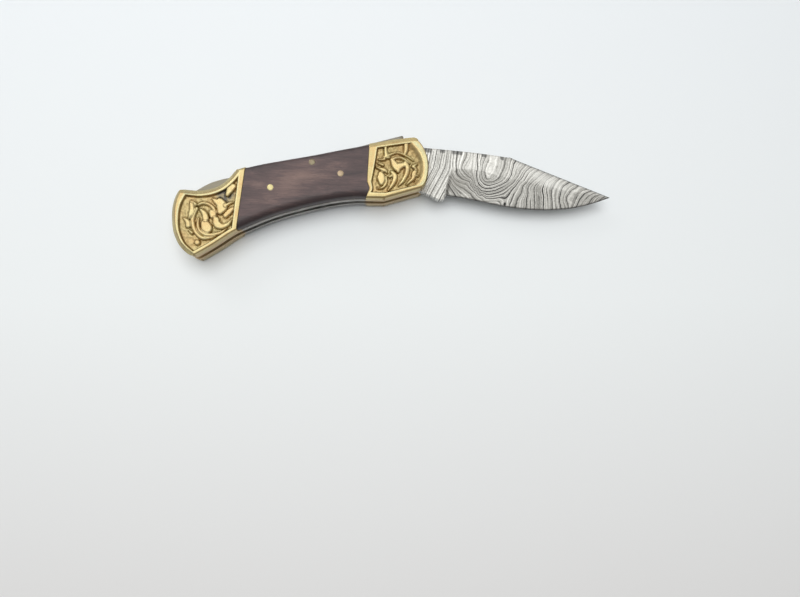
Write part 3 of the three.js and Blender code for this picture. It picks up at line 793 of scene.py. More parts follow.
# %% Front bolster
FRONT_JOINT = [(-8.85, 6.9), (-9.45, -3.3), (-9.3, -4.9), (-8.85, -6.4), (-9.25, -7.6), (-9.85, -9.1)]
front_sides = [
    # The bevels along the belly, the heel and the front arc get painted shade.
    dict(points=FRONT_BELLY, rim=(1.5, 1.4), bevel=0.45, drop=1.1, painted_bevel_shade=0.6),
    dict(points=HEEL, rim=(1.2, 0.9), bevel=0.45, drop=1.1, painted_bevel_shade=0.6),
    dict(points=FRONT_ARC, rim=(1.2, 1.3, 1.9), bevel=0.4, drop=0.6, painted_bevel_shade=0.4, round=0.8, wall=1.7),
    dict(points=TOP_EDGE, rim=(1.6, 1.6), bevel=1.3, drop=0.38, round=1.0),
    dict(points=FRONT_JOINT, rim=(2.4, 2.05, 1.6, 1.0, 0.4), bevel=0.12, drop=0.12),
]
front_leaves = [
    [([(-4.4, 2.8), (-3.5, 3.3), (-2.4, 3.8), (-1.1, 4.2), (0.4, 4.0), (1.8, 3.3), (3.0, 2.6), (3.9, 1.8)],
      (0.97, 0.72, 0.6, 0.55, 0.55, 0.5, 0.45, 0.24)),
     ([(-4.1, 6.4), (-4.1, 4.8), (-3.9, 3.3)], (0.72, 0.97, 1.21)),
     ([(-4.4, 2.8), (-3.0, 2.8)], (0.63, 0.53)),
     ([(1.9, 6.6), (1.8, 4.9), (1.4, 3.7)], (1.3, 1.2, 0.72))],
    [([(-2.3, 2.1), (-1.1, 2.7), (0.1, 2.8), (1.4, 2.2), (2.9, 1.1)], (0.97, 0.8, 0.68, 0.6, 0.29)),
     ([(-2.1, 1.8), (-1.4, 0.5), (-0.6, -0.6), (-0.5, -1.4)], (1.21, 1.9, 1.9, 0.72)),
     ([(-0.3, 0.1), (0.9, 0.6), (1.7, 0.6)], (2.0, 1.5, 1.2)),
     ([(1.6, 1.1), (2.2, -0.1), (2.0, -1.9), (1.2, -3.6), (0.4, -4.7), (-0.4, -5.5)],
      (1.2, 1.3, 1.2, 1.05, 0.8, 0.34))],
    [([(-2.2, -1.6), (-1.4, -2.7), (-1.7, -4.3), (-2.4, -5.6), (-3.4, -6.9)], (0.97, 1.4, 1.1, 0.82, 0.29)),
     ([(-3.1, -3.0), (-2.3, -2.6)], (0.34, 0.87))],
    [([(4.6, -1.1), (4.1, -2.1), (3.8, -3.4), (2.9, -4.3), (2.0, -5.2)], (0.97, 1.4, 0.97, 0.68, 0.29)),
     ([(5.1, -2.7), (4.1, -2.4)], (0.39, 0.72))],
    [([(4.9, 0.9), (3.9, 0.1)], (0.34, 0.97)),
     ([(3.9, 0.1), (4.8, -0.8)], (0.97, 0.34))],
    [([(-5.5, -2.0), (-5.3, -3.4), (-5.3, -4.7)], (1.4, 2.5, 1.4))],
    [([(-4.0, -2.9), (-3.9, -4.3), (-4.4, -5.5), (-5.3, -6.2), (-6.4, -6.3)],
      (0.39, 0.58, 0.63, 0.53, 0.29))],
    [([(-6.7, -0.1), (-5.5, -0.6), (-4.2, -1.1), (-3.8, -1.6)], (0.39, 0.72, 1.21, 0.48))],
    [([(-6.1, 2.1), (-4.5, 2.2)], (0.34, 0.53))],
    [([(-6.3, 1.1), (-4.9, 0.6)], (0.29, 0.72))],
]
bolster_pair("front", front_sides, front_leaves, grime_and_shade=1.0, seed=11)

# %% [markdown]
# ### Rear bolster
#
# The rear bolster closes the butt. A notch is cut into its top, so that a thumb can reach the
# lock bar's tail, and the bevels there are wide. A grey stain sits just below the notch.

# %% Rear bolster
REAR_STAIN = (-50.6, -7.8, 3.7)
REAR_JOINT = [(-47.1, -18.5), (-44.8, 0.0)]
rear_sides = [
    # The bevel along the belly gets painted shade.
    dict(points=REAR_BELLY, rim=(0.9, 0.9), bevel=0.3, drop=0.8, painted_bevel_shade=0.6, round=1.4),
    dict(points=REAR_JOINT, rim=(1.2, 1.6), bevel=0.12, drop=0.12),
    dict(points=REAR_LAND, bevel=0.7, drop=0.6),
    dict(points=THUMB_NOTCH, rim=(1.9, 1.85, 1.5), bevel=1.4, drop=1.1, round=0.7, wall=0.6),
    dict(points=BUTT_ARC, rim=(2.8, 2.2, 1.8, 1.55, 1.3), bevel=1.2, drop=1.2, round=2.0, wall=0.6),
]
rear_leaves = [
    [([(-56.2, -16.7), (-55.7, -18.0)], (2.3, 3.2))],
    [([(-58.7, -12.3), (-59.6, -14.3), (-59.8, -16.2), (-59.2, -18.3), (-58.1, -19.9), (-56.8, -20.8),
       (-55.1, -20.8), (-53.2, -20.3)], (1.0, 1.2, 1.2, 1.2, 1.15, 1.1, 0.95, 0.42))],
    [([(-58.1, -15.2), (-58.2, -17.2), (-57.6, -18.8), (-55.9, -19.9), (-53.8, -19.9), (-51.7, -19.4),
       (-50.0, -18.2)], (0.6, 0.85, 0.85, 0.85, 0.85, 0.75, 0.32))],
    [([(-58.2, -11.2), (-56.9, -10.7), (-55.3, -11.0), (-54.0, -12.0), (-53.1, -13.4)],
      (0.6, 0.75, 0.85, 1.0, 0.79)),
     ([(-54.2, -13.5), (-53.9, -14.2)], (1.8, 2.0))],
    [([(-57.4, -12.7), (-56.4, -13.8), (-56.0, -15.1)], (0.79, 1.5, 1.8))],
    [([(-53.0, -15.6), (-52.8, -16.7), (-51.5, -17.5), (-49.7, -17.0), (-48.4, -15.4)],
      (1.8, 2.1, 1.3, 0.95, 0.37))],
    [([(-50.3, -14.3), (-49.2, -13.2), (-48.2, -12.3)], (1.45, 1.55, 0.9))],
    [([(-52.0, -10.3), (-51.4, -11.6), (-51.9, -13.2)], (2.1, 3.1, 1.6)),
     ([(-54.1, -9.5), (-53.0, -10.3), (-52.2, -11.1)], (0.53, 1.5, 1.5))],
    [([(-50.3, -11.4), (-48.8, -10.6), (-47.9, -10.4)], (0.79, 0.63, 0.26))],
    [([(-49.9, -8.2), (-49.3, -7.0), (-48.2, -5.8)], (1.05, 1.84, 1.58))],
    [([(-60.3, -10.3), (-59.3, -11.0)], (0.79, 1.3))],
    [([(-60.3, -11.1), (-60.0, -12.4), (-60.4, -14.0), (-60.8, -15.1)], (1.05, 1.5, 1.3, 0.53))],
    [([(-62.3, -15.1), (-61.2, -16.2), (-61.0, -17.2)], (0.53, 1.3, 1.5))],
    [([(-60.5, -18.8), (-59.8, -19.4)], (0.53, 0.63))],
    [([(-58.3, -22.2), (-58.2, -22.2)], (1.48, 1.48))],
]
bolster_pair("rear", rear_sides, rear_leaves, grime_and_shade=0.75, seed=12, stain=REAR_STAIN)

# %% [markdown]
# ## Wooden covers
#
# The grips are dark rosewood: purplish brown, straight-grained along the handle, oiled to a
# satin shine. Three noises stretched along the grain make its broad figure, its fibres and its
# pores. Both covers read the same noises in space, as if they were sawn from one block.

# %% Wood material
WOOD_DARK = linear(44, 32, 33)
WOOD_MID = linear(77, 59, 58)
WOOD_LIGHT = linear(114, 91, 84)
PORE_TONE = (0.45, 0.42, 0.42)
GRAIN_TURN = 0.17

wood, wood_shader = new_material("dark_rosewood", Roughness=0.42, Coat_Weight=0.14, Coat_Roughness=0.3)
figure = noise(wood, stretched(wood, (90, 420, 300), GRAIN_TURN), 1.0, 3, 0.6, 0.6)
fibres = noise(wood, stretched(wood, (220, 4200, 2500), GRAIN_TURN), 1.0, 4, 0.65)
pores = noise(wood, stretched(wood, (900, 9000, 6000), GRAIN_TURN), 1.0, 2)
grain = plus(wood, times(wood, figure, 0.6), times(wood, fibres, 0.4))
# The painted sheen and painted shade of the covers are added to the grain here.
grain = plus(wood, grain, times(wood, attribute(wood, "sheen_and_shade"), 0.12))
wood_colour = ramp(wood, grain, [(0.30, WOOD_DARK), (0.5, WOOD_MID), (0.72, WOOD_LIGHT)])
pore_mask = ramp(wood, pores, [(0.30, PORE_TONE), (0.42, (1, 1, 1))])
wood_colour = mix_colours(wood, 0.8, wood_colour, pore_mask, "MULTIPLY")
wood_rough = maths(wood, "MULTIPLY_ADD", fibres, 0.3, 0.28)
feed(wood, wood_shader, Base_Color=wood_colour, Roughness=wood_rough)
bump(wood, wood_shader, plus(wood, fibres, times(wood, pores, 0.8)), 0.03 * MM, 0.5)
print("dark_rosewood made")

# %% [markdown]
# ### Shape of the covers
#
# A cover is flat in the middle and rounded down to the belly and the spine. It stands back from
# the liners along the belly, so that their steel shows below it. Creases in the net follow both
# roundings, close together where the wood curves most.

# %% Cover shape
JOINT_GAP = 0.06
LEDGE = 0.25
WOOD_NET = 0.45
WOOD_LINE_STEP = 0.5
BELLY_ROUND, SPINE_ROUND = (2.2, 1.9), (1.4, 1.3)
ROUNDING_STEPS = (0.05, 0.15, 0.3, 0.5, 0.75, 1.05, 1.4, 1.8, 2.2)


def shifted(points, dx=0.0, dy=0.0):
    return [(x + dx, y + dy) for x, y in points]


wood_sides = [
    dict(points=shifted(MID_BELLY, 0, LEDGE)),
    dict(points=shifted(FRONT_JOINT[::-1], -JOINT_GAP)),
    dict(points=MID_SPINE),
    dict(points=shifted(REAR_JOINT[::-1], JOINT_GAP)),
]
belly_line = smooth_curve(wood_sides[0]["points"], WOOD_LINE_STEP)
spine_line = smooth_curve(MID_SPINE, WOOD_LINE_STEP)
wood_creases = [belly_line + (0, step) for step in ROUNDING_STEPS if step <= BELLY_ROUND[0]]
wood_creases += [spine_line - (0, step) for step in ROUNDING_STEPS if step <= SPINE_ROUND[0]]
wood_net = net_over([closed_outline(wood_sides, WOOD_NET)], WOOD_NET, wood_creases)
from_belly = distance_to(wood_net[0], belly_line)[0]
from_spine = distance_to(wood_net[0], spine_line)[0]
wood_top = SCALE_TOP - np.maximum(rounded(from_belly, *BELLY_ROUND), rounded(from_spine, *SPINE_ROUND))
print("wood net:", len(wood_net[0]), "points")

# %% [markdown]
# ### Painted sheen and shade on the covers
#
# A painted sheen lightens a leaning oval in the middle of the grip, and painted shade darkens
# its rounded edges along the belly and the spine. Both go into one value on the vertices, which
# the wood material adds to its grain: above 0 is lighter.

# %% Painted sheen and shade on the covers
SHEEN_PLACE, SHEEN_REACH, SHEEN_LEAN = (-31.55, -5.0), (7.0, 7.0), 1.1
BELLY_SHADE, SPINE_SHADE = (0.8, 3.6), (0.2, 2.6)
SPINE_SHADE_SHARE = 0.7
SHEEN_AND_SHADE_CONTRAST, SHEEN_AND_SHADE_OFFSET = 1.5, -0.42


def soft_spot(x, y, place, reach, lean=0.0, slope=0.0):
    """1 at the place, fading away over its reach: an oval that may lean or slope."""
    dx, dy = x - place[0], y - place[1]
    return np.exp(-((dx - lean * dy) / reach[0]) ** 2 - ((dy - slope * dx) / reach[1]) ** 2)


wx, wy = wood_net[0].T
# Painted sheen: a lighter leaning oval in the middle. Painted shade: darker along the rounded belly and
# spine.
painted_sheen = soft_spot(wx, wy, SHEEN_PLACE, SHEEN_REACH, lean=SHEEN_LEAN)
shade_by_belly = 1 - smoothstep(from_belly, *BELLY_SHADE)
shade_by_spine = SPINE_SHADE_SHARE * (1 - smoothstep(from_spine, *SPINE_SHADE))
painted_edge_shade = np.maximum(shade_by_belly, shade_by_spine)
sheen_and_shade = painted_sheen * SHEEN_AND_SHADE_CONTRAST - painted_edge_shade * SHEEN_AND_SHADE_CONTRAST + SHEEN_AND_SHADE_OFFSET
for side_name, flip in (("upper", False), ("lower", True)):
    cover = relief_solid(f"{side_name}_wood_cover", wood_net, wood_top, LINER_TOP, wood,
                         {"sheen_and_shade": sheen_and_shade}, flip, 50)
    dress(cover, "handle", "dark_wood", f"{side_name}_scale")

# %% [markdown]
# ## Steel of liners, lock and spring
#
# These are plain ground steel: grey, with fine lines along the grinding direction and a slight
# cloudiness. One recipe with a few settings covers them. Beside the bolsters the liners' edges
# were filed together with the brass and took on some of its colour. At the rear the lock bar and
# the spring get a brassy tint as well, a painted reflection of the brass round them.

# %% Ground steel
GROUND_ALONG = (80, 2600, 1500)
FRONT_FILED, REAR_BRASSY_SPAN = (-10.5, -9.5), (-46.6, -45.6)


def make_steel(name, light, dark, roughness, brassy=None):
    material, shader = new_material(name, Metallic=1.0)
    lines = noise(material, stretched(material, GROUND_ALONG), 1.0, 4, 0.6)
    clouds = noise(material, stretched(material), 180, 3)
    tone = plus(material, times(material, lines, 0.45), times(material, clouds, 0.55))
    colour = ramp(material, tone, [(0.35, dark), (0.62, light)])
    if brassy:
        colour = mix_colours(material, attribute(material, "beside_brass"), colour, brassy)
    rough = maths(material, "MULTIPLY_ADD", lines, 0.25, roughness - 0.12)
    feed(material, shader, Base_Color=colour, Roughness=rough)
    bump(material, shader, lines, 0.02 * MM, 0.6)
    print(name, "made")
    return material


# How far the rear end gets a brassy tint: brass colour on the liners, a painted reflection on the lock bar
# and spring.
def brassy_at_rear(x):
    return 1 - smoothstep(x, *REAR_BRASSY_SPAN)


liner_steel = make_steel("liner_steel", linear(176, 174, 170), linear(118, 116, 112), 0.42,
                         linear(190, 168, 132))
# At the rear, the brassy tint of this steel is a painted reflection of the brass round it.
spring_steel = make_steel("spring_steel", linear(130, 125, 114), linear(88, 84, 76), 0.36,
                          linear(120, 115, 102))

# %% [markdown]
# ## Liners
#
# A liner is a flat steel plate with the outline of the whole handle. Only its edge shows, as a
# thin strip along the belly, so a coarse net is enough.

# %% Liners
LINER_NET = 1.2

liner_net = net_over([handle_ring], LINER_NET)
liner_x = liner_net[0][:, 0]
beside_brass = np.maximum(smoothstep(liner_x, *FRONT_FILED), brassy_at_rear(liner_x))
for side_name, flip in (("upper", False), ("lower", True)):
    liner = relief_solid(f"{side_name}_liner_plate", liner_net, np.full(len(liner_x), LINER_TOP),
                         LINER_BOTTOM, liner_steel, {"beside_brass": beside_brass}, flip)
    dress(liner, "handle", "liner_steel", f"{side_name}_liner")

# %% [markdown]
# ## Lock bar
#
# The bar lies along the spine between the liners. Its nose stands a little proud at the front
# bolster and its tail shows in the thumb notch, where the user presses it. It is cut from flat
# bar, so it is an outline with thickness and softened edges, turned about its pin.

# %% Flat bar with softened edges
SOFT_EDGE = 0.12


def turned(points, centre, angle):
    c, s = math.cos(angle), math.sin(angle)
    return (np.array(points) - centre) @ np.array([[c, s], [-s, c]]) + centre


def circle(x, y, radius, count=48):
    angles = np.linspace(0, 2 * math.pi, count, endpoint=False)
    return np.column_stack([x + radius * np.cos(angles), y + radius * np.sin(angles)])


def soft_plate(name, ring, half, spacing, material, holes=()):
    net = net_over([ring, *holes], spacing)
    edge = distance_to(net[0], ring, True)[0]
    face = half - rounded(edge, SOFT_EDGE, SOFT_EDGE * 0.8)
    return relief_solid(name, net, face, -face, material, {"beside_brass": brassy_at_rear(net[0][:, 0])})


# %% [markdown]
# ### Outline of the lock bar
#
# The bar is easiest to draw where it was fitted, with its tooth down in the blade's notch and
# its back along the spine. The photograph shows its nose raised, so the whole outline is then
# turned about the rocker pin.

# %% Lock bar
ROCKER = np.array((-25.5, 1.4))
ROCKER_HOLE = 1.2
LOCK_RAISE = math.radians(4)
TOOTH_FRONT, TOOTH_BOTTOM, TOOTH_LENGTH = 1.85, 3.75, 3.25
TOOTH_BACK = [(-2.9, 0.25), (-1.1, 1.3), (0, 1.65), (0, 0)]
NOSE_PROUD, NOSE_CHAMFER = 0.45, 0.35
BELOW_SPINE = 0.05
BAR_LINE_STEP, BAR_RING_STEP = 0.4, 0.25
BAR_NET, SPRING_NET = 0.4, 0.45
BAR_TAIL = [(-46.5, -0.6), (-50.4, -0.3), (-53.7, -0.75), (-57.0, -1.7), (-60.9, -3.6)]
BAR_UNDER = [(-61.1, -6.2), (-54.0, -4.9), (-48.5, -4.2), (-43.1, -3.4), (-37.4, -2.3), (-31.7, -1.3),
             (-25.5, -0.6), (-20.0, 0.9), (-17.2, 1.6), (-16.3, 3.85)]


def bar_outline():
    """The bar seated in the notch, as it was cut. It is raised afterwards."""
    top = np.interp(TOOTH_FRONT, *zip(*TOP_EDGE[::-1])) + NOSE_PROUD
    lever = TOOTH_FRONT - ROCKER[0]
    along_spine = [(x, y + NOSE_PROUD * max((x - ROCKER[0]) / lever, 0) - BELOW_SPINE)
                   for x, y in MID_SPINE[1:-1]]
    spine = smooth_curve([(TOOTH_FRONT - NOSE_CHAMFER, top), *along_spine, *BAR_TAIL], BAR_LINE_STEP)
    under = smooth_curve(BAR_UNDER[:-1], BAR_LINE_STEP)
    nose = [(TOOTH_FRONT, TOOTH_BOTTOM), (TOOTH_FRONT, top - NOSE_CHAMFER)]
    tooth_back = shifted(TOOTH_BACK, TOOTH_FRONT - TOOTH_LENGTH, TOOTH_BOTTOM)
    return np.vstack([nose, spine, under, BAR_UNDER[-1:], tooth_back])


bar_ring = even_ring(turned(bar_outline(), ROCKER, LOCK_RAISE), BAR_RING_STEP)
bar_hole = circle(*ROCKER, ROCKER_HOLE)
bar = soft_plate("lock_bar_steel", bar_ring, HALF_BLADE, BAR_NET, spring_steel, [bar_hole])
dress(bar, "lock_bar", "spring_steel", "lock_bar")

# %% [markdown]
# ## Backspring
#
# A springy leaf presses the bar's tail up, so that the nose drops into the blade's notch. Its
# thick end is pinned in the butt. The leaf has to bend as the bar rocks.

# %% Backspring
SPRING_FOOT = -20.4
SPRING_INSET = 0.05
SPRING_BLOCK = [(-62.9, -20.0), (-62.3, -17.2), (-58.5, -14.2), (-56.2, -12.1), (-53.7, -10.2), (-51.0, -8.7),
                (-48.0, -7.1)]
SPRING_LEAF = [(-47.6, -6.2), (-52.0, -7.3), (-56.0, -8.9), (-62.3, -9.3), (-62.6, -7.6)]

butt_inside = smooth_curve(BUTT_ARC, BAR_LINE_STEP)
butt_inside = butt_inside[butt_inside[:, 1] > SPRING_FOOT][2:] + (SPRING_INSET, 0)
block = smooth_curve(SPRING_BLOCK, BAR_LINE_STEP)
leaf = smooth_curve(SPRING_LEAF[:-1], BAR_LINE_STEP)
spring_ring = even_ring(np.vstack([butt_inside, block, leaf, SPRING_LEAF[-1:]]), BAR_RING_STEP)
spring = soft_plate("backspring_steel", spring_ring, HALF_BLADE, SPRING_NET, spring_steel)
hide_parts("backspring")
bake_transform(spring)

# %% [markdown]
# ## Blade
#
# The blade is forged from many thin layers of two steels. Grinding cuts through the folds, and
# etching darkens one steel more than the other, so the face shows flowing lines like a map's
# contours. The body comes first: flat stock near the pivot, a plunge line, then faces ground
# down to the edge, and a narrow swedge along the clipped back.

# %% Blade outline
BLADE_LENGTH = 62.7


def along_blade(*places):
    return [(share * BLADE_LENGTH, y) for share, y in places]


BLADE_SPINE = along_blade((0.107, 7.2), (0.242, 6.4), (0.384, 5.4), (0.536, 4.0))
CLIP = along_blade((0.536, 4.0), (0.565, 3.25), (0.997, -7.65))
CUTTING_EDGE = along_blade((0.217, -7.1), (0.287, -7.7), (0.383, -8.85), (0.478, -10.15), (0.574, -11.05),
                           (0.67, -11.45), (0.75, -11.35), (0.83, -10.8), (0.91, -9.65), (1, -7.75))
GRIND_LINE = along_blade((0.207, 0.8), (0.367, 0.4), (0.5, -1.9), (0.646, -3.8), (0.8, -5.8), (0.998, -7.7))
PLUNGE = along_blade((0.215, -7.6), (0.223, -4.3), (0.238, -0.4), (0.242, 1.6))
KICK = [(6.5, -6.1), (9.2, -7.35), (11.2, -8.45), (12.3, -8.65), (13.2, -8.35), (13.6, -7.1)]
CAM_RADIUS, LOCK_GAP, BLADE_SWING = 5.2, 0.35, math.radians(157)
BLADE_LINE_STEP, BLADE_RING_STEP = 0.3, 0.2
NOTCH_TOP = 7.6
CAM_STEPS = 40


def tang_outline():
    """The rear end: the notch for the bar's tooth, the round cam and the flat for a closed blade."""
    floor = TOOTH_BOTTOM - LOCK_GAP
    front = TOOTH_FRONT + LOCK_GAP
    rear = TOOTH_FRONT - TOOTH_LENGTH - LOCK_GAP
    flat_half = math.acos(floor / CAM_RADIUS)
    cam_start = math.pi - math.acos(-rear / CAM_RADIUS)
    closed = math.pi / 2 + BLADE_SWING
    angles = np.linspace(cam_start, closed - flat_half, CAM_STEPS)
    cam = np.column_stack([np.cos(angles), np.sin(angles)]) * CAM_RADIUS
    flat_end = (CAM_RADIUS * math.cos(closed + flat_half), CAM_RADIUS * math.sin(closed + flat_half))
    return [(front, NOTCH_TOP), (front, floor), (rear, floor), *cam.tolist(), flat_end]


kick, edge_line, clip, spine = (smooth_curve(points, BLADE_LINE_STEP)
                                for points in (KICK, CUTTING_EDGE, CLIP, BLADE_SPINE))
blade_ring = np.vstack([tang_outline(), kick, edge_line, clip[::-1][1:], spine[::-1][1:]])
blade_ring = even_ring(blade_ring, BLADE_RING_STEP)
print("blade outline:", blade_ring.min(0).round(2), blade_ring.max(0).round(2))

# %% [markdown]
# ### Net of the blade
#
# Creases in the net follow the lines that a grinder leaves: the upper limit of the grind, the
# plunge line, the last narrow bevel at the edge and the swedge at the back.

# %% Net of the blade
BLADE_NET = 0.26
PIVOT_HOLE = 1.85
SECONDARY, SWEDGE = 0.45, 0.55

back_line = np.vstack([spine, clip[1:]])
grind_line = smooth_curve(GRIND_LINE, BLADE_LINE_STEP)
plunge_line = smooth_curve(PLUNGE, BLADE_LINE_STEP)
blade_net = net_over([blade_ring, circle(0, 0, PIVOT_HOLE)], BLADE_NET,
                     [grind_line, plunge_line, edge_line + (0, SECONDARY), back_line - (0, SWEDGE)])
bx, by = blade_net[0].T
from_edge = distance_to(blade_net[0], edge_line)[0]
from_back = distance_to(blade_net[0], back_line)[0]
from_ring = distance_to(blade_net[0], blade_ring, True)[0]
print("blade net:", len(bx), "points")

# %% [markdown]
# ### Ground faces
#
# The stock thins towards the point. Below the grind line the face falls to the edge, a little
# hollow because the wheel is round. A last narrow bevel makes it sharp.

# %% Ground faces
EDGE_HALF, BEHIND_EDGE, SECONDARY_RISE = 0.1, 0.12, 0.28
TIP_HALF, TAPER_START, TAPER_SHARE = 0.5, 0.48, 0.5
GRIND_FROM_BACK, LEAST_GRIND = 0.6, 0.3
HOLLOW = 1.1
PLUNGE_WIDTH = 1.1
SWEDGE_DEPTH = 0.3
CLIP_STARTS = (0.52, 0.56)
SOFT_TANG = (0.12, 0.08)

edge_y = np.interp(bx, edge_line[:, 0], edge_line[:, 1])
back_y = np.interp(bx, back_line[:, 0], back_line[:, 1])
grind_y = np.minimum(np.interp(bx, grind_line[:, 0], grind_line[:, 1]), back_y - GRIND_FROM_BACK)
plunge_x = np.interp(by, plunge_line[:, 1], plunge_line[:, 0])
behind_plunge = smoothstep(bx - plunge_x, 0.0, PLUNGE_WIDTH)
ground_share = behind_plunge * (by < grind_y)

taper = np.clip((bx / BLADE_LENGTH - TAPER_START) / TAPER_SHARE, 0, 1)
half = HALF_BLADE + (TIP_HALF - HALF_BLADE) * taper
fall = np.clip((grind_y - by) / np.maximum(grind_y - edge_y, LEAST_GRIND), 0, 1)
ground = half - (half - EDGE_HALF - BEHIND_EDGE) * fall ** HOLLOW
sharpened = EDGE_HALF + SECONDARY_RISE * np.clip(from_edge / SECONDARY, 0, 1)
ground = np.where(from_edge < SECONDARY, np.minimum(ground, sharpened), ground)
on_clip = smoothstep(bx, *(share * BLADE_LENGTH for share in CLIP_STARTS))
face = half + (ground - half) * ground_share
face = face - np.clip(1 - from_back / SWEDGE, 0, 1) * SWEDGE_DEPTH * on_clip
face = face - rounded(from_ring, *SOFT_TANG) * (1 - ground_share)
face = np.maximum(face, EDGE_HALF)
print("blade half thickness, mm:", face.min().round(2), "to", face.max().round(2))

# %% [markdown]
# ### Layer lines
#
# The lines follow the folds of the billet, so they can't come from a ready-made noise. They are
# traced like a map's contours instead: each line has a height, and the smoothest surface through
# all of them fills the rest of the blade. Before the plunge line the layers are straight and
# slanting. The material then reads a one-dimensional noise along that height, which gives bands
# of uneven width that stay parallel to the folds, as real layers do.

# %% Traced layer lines
LAYER_LINES = [
    (0.35, [(27.8, 4.9), (27.2, 1.1), (26.9, -0.4)]),
    (1, [(26.9, 4.7), (25.8, 1.3), (25.6, -1.2), (26.1, -2.4), (27.6, -1.4), (28.3, -0.2), (29.2, 1.6),
         (29.7, 4.5)]),
    (2, [(25.9, 4.8), (24.8, 1.6), (24.5, -0.2), (24.8, -2.1), (26.4, -3.1), (28.2, -3.0), (29.7, -1.9),
         (30.9, 0.5), (31.6, 3.2)]),
    (3, [(25.0, 5.0), (24.2, 1.3), (23.9, -1.3), (24.6, -3.1), (26.4, -4.1), (28.5, -3.8), (30.3, -3.0),
         (31.6, -1.6), (32.7, 0.8), (33.2, 3.0)]),
    (4, [(23.3, 5.0), (23.3, 0.9), (23.0, -1.6), (24.3, -4.5), (26.5, -5.1), (29.0, -4.6), (31.8, -3.2),
         (33.6, 0.2), (34.2, 2.3)]),
    (5, [(22.2, 5.2), (21.6, 2.3), (21.7, -0.9), (23.3, -4.6), (26.5, -5.9), (29.6, -5.2), (33.0, -3.2),
         (34.8, -0.2), (35.6, 1.6)]),
    (6, [(20.2, 5.6), (19.4, 3.3), (18.6, 0.7), (20.0, -1.0), (21.1, -1.9), (22.1, -4.7), (23.9, -6.2),
         (26.1, -6.8), (29.5, -6.2), (32.8, -4.2), (35.2, -1.6), (37.0, 1.2)]),
    (7, [(18.9, 5.8), (18.0, 2.4), (18.2, 0.0), (20.0, -2.1), (21.6, -3.9), (23.4, -6.2), (26.0, -7.4),
         (29.0, -7.2), (32.0, -5.8), (34.6, -3.4), (36.4, -0.8), (38.3, 1.6)]),
    (8, [(17.4, 5.8), (17.1, 0.7), (17.8, -1.5), (19.4, -2.5), (21.0, -3.2), (21.9, -4.7), (23.2, -6.0),
         (25.0, -7.3), (26.2, -8.0), (28.2, -8.1)]),
    (9, [(15.4, -0.7), (16.3, -2.2), (19.0, -3.7), (21.0, -5.2), (23.1, -7.1), (25.2, -8.9)]),
    (10, [(15.9, -2.3), (17.0, -3.8), (18.8, -4.9), (20.6, -6.2), (21.9, -7.7)]),
    (11.5, [(15.1, -3.7), (16.3, -5.2), (17.5, -6.8)]),
    (8.5, [(29.6, -8.3), (30.6, -9.2)]),
    (9.4, [(27.6, -9.2), (29.8, -10.2)]),
    (8, [(39.9, 1.7), (37.4, -0.4), (35.4, -3.2), (33.8, -5.2), (32.3, -7.4), (31.3, -9.9)]),
    (9, [(40.8, 1.2), (38.8, -0.2), (37.3, -2.3), (35.8, -4.0), (34.1, -6.8), (32.8, -9.8)]),
    (10, [(41.9, 0.7), (39.2, -1.6), (37.9, -3.4), (36.4, -6.1), (35.3, -8.0), (34.6, -10.5)]),
    (12, [(43.4, -0.1), (40.7, -2.2), (38.5, -4.2), (38.2, -6.8), (37.8, -8.4), (37.7, -10.8)]),
    (14, [(44.6, -0.6), (42.2, -2.6), (40.3, -4.5), (40.1, -6.3), (40.2, -8.4), (40.3, -11.2)]),
    (16, [(46.0, -1.2), (43.8, -2.6), (42.9, -4.2), (42.8, -7.4), (42.8, -11.2)]),
    (18, [(48.0, -2.0), (45.9, -4.5), (45.1, -6.3), (45.3, -8.6), (45.4, -11.2)]),
    (20, [(50.6, -3.2), (48.3, -5.3), (47.8, -7.2), (47.7, -9.5), (48.1, -11.2)]),
    (21.4, [(52.4, -4.0), (50.1, -5.9), (49.2, -7.4), (49.1, -8.9), (49.6, -10.3)]),
    (22.4, [(54.0, -4.6), (51.6, -6.1), (50.6, -7.3), (50.3, -8.6), (50.7, -9.8)]),
    (22.6, [(55.2, -5.1), (53.1, -6.4), (51.9, -8.0), (51.4, -9.8)]),
    (24, [(57.2, -5.7), (55.2, -6.6), (53.7, -8.1), (52.8, -10.1), (52.2, -11.0)]),
    (26, [(60.0, -6.8), (58.2, -7.4), (56.9, -8.7), (56.0, -10.0)]),
    (28, [(61.6, -7.2), (60.4, -7.9), (59.4, -9.0)]),
]
print("layer lines:", len(LAYER_LINES))

# %% [markdown]
# ### Layer height
#
# The smoothest surface through known heights is the shape of a thin springy sheet that is held
# along the lines. It takes one weight for each traced point, and one solved system of equations
# gives them all.

# %% Layer height
PLUNGE_TOP = (14.9, -0.4)
HEIGHT_AT_PLUNGE, LAYER_STEP = 9.6, 0.85
LOW_SLANT, HIGH_SLANT, SLANT_CHANGE = 0.54, 0.2, 1
STIFFNESS = 0.2
LOW_CHANGE, HIGH_CHANGE = (-0.15, 0.25), (13.5, 17.5)


def spread(a, b):
    squared = ((a[:, None] - b[None]) ** 2).sum(axis=2)
    return squared * np.log(squared + 1e-9)


def surface_through(lines, points):
    """The smoothest surface whose height is known along the lines, read at the points."""
    places = np.array([place for _, line in lines for place in line])
    heights = np.array([height for height, line in lines for _ in line])
    flat = np.column_stack([np.ones(len(places)), places])
    system = np.block([[spread(places, places) + STIFFNESS * np.eye(len(places)), flat],
                       [flat.T, np.zeros((3, 3))]])
    weights = np.linalg.solve(system, np.concatenate([heights, np.zeros(3)]))
    plane = np.column_stack([np.ones(len(points)), points])
    return spread(points, places) @ weights[:-3] + plane @ weights[-3:]


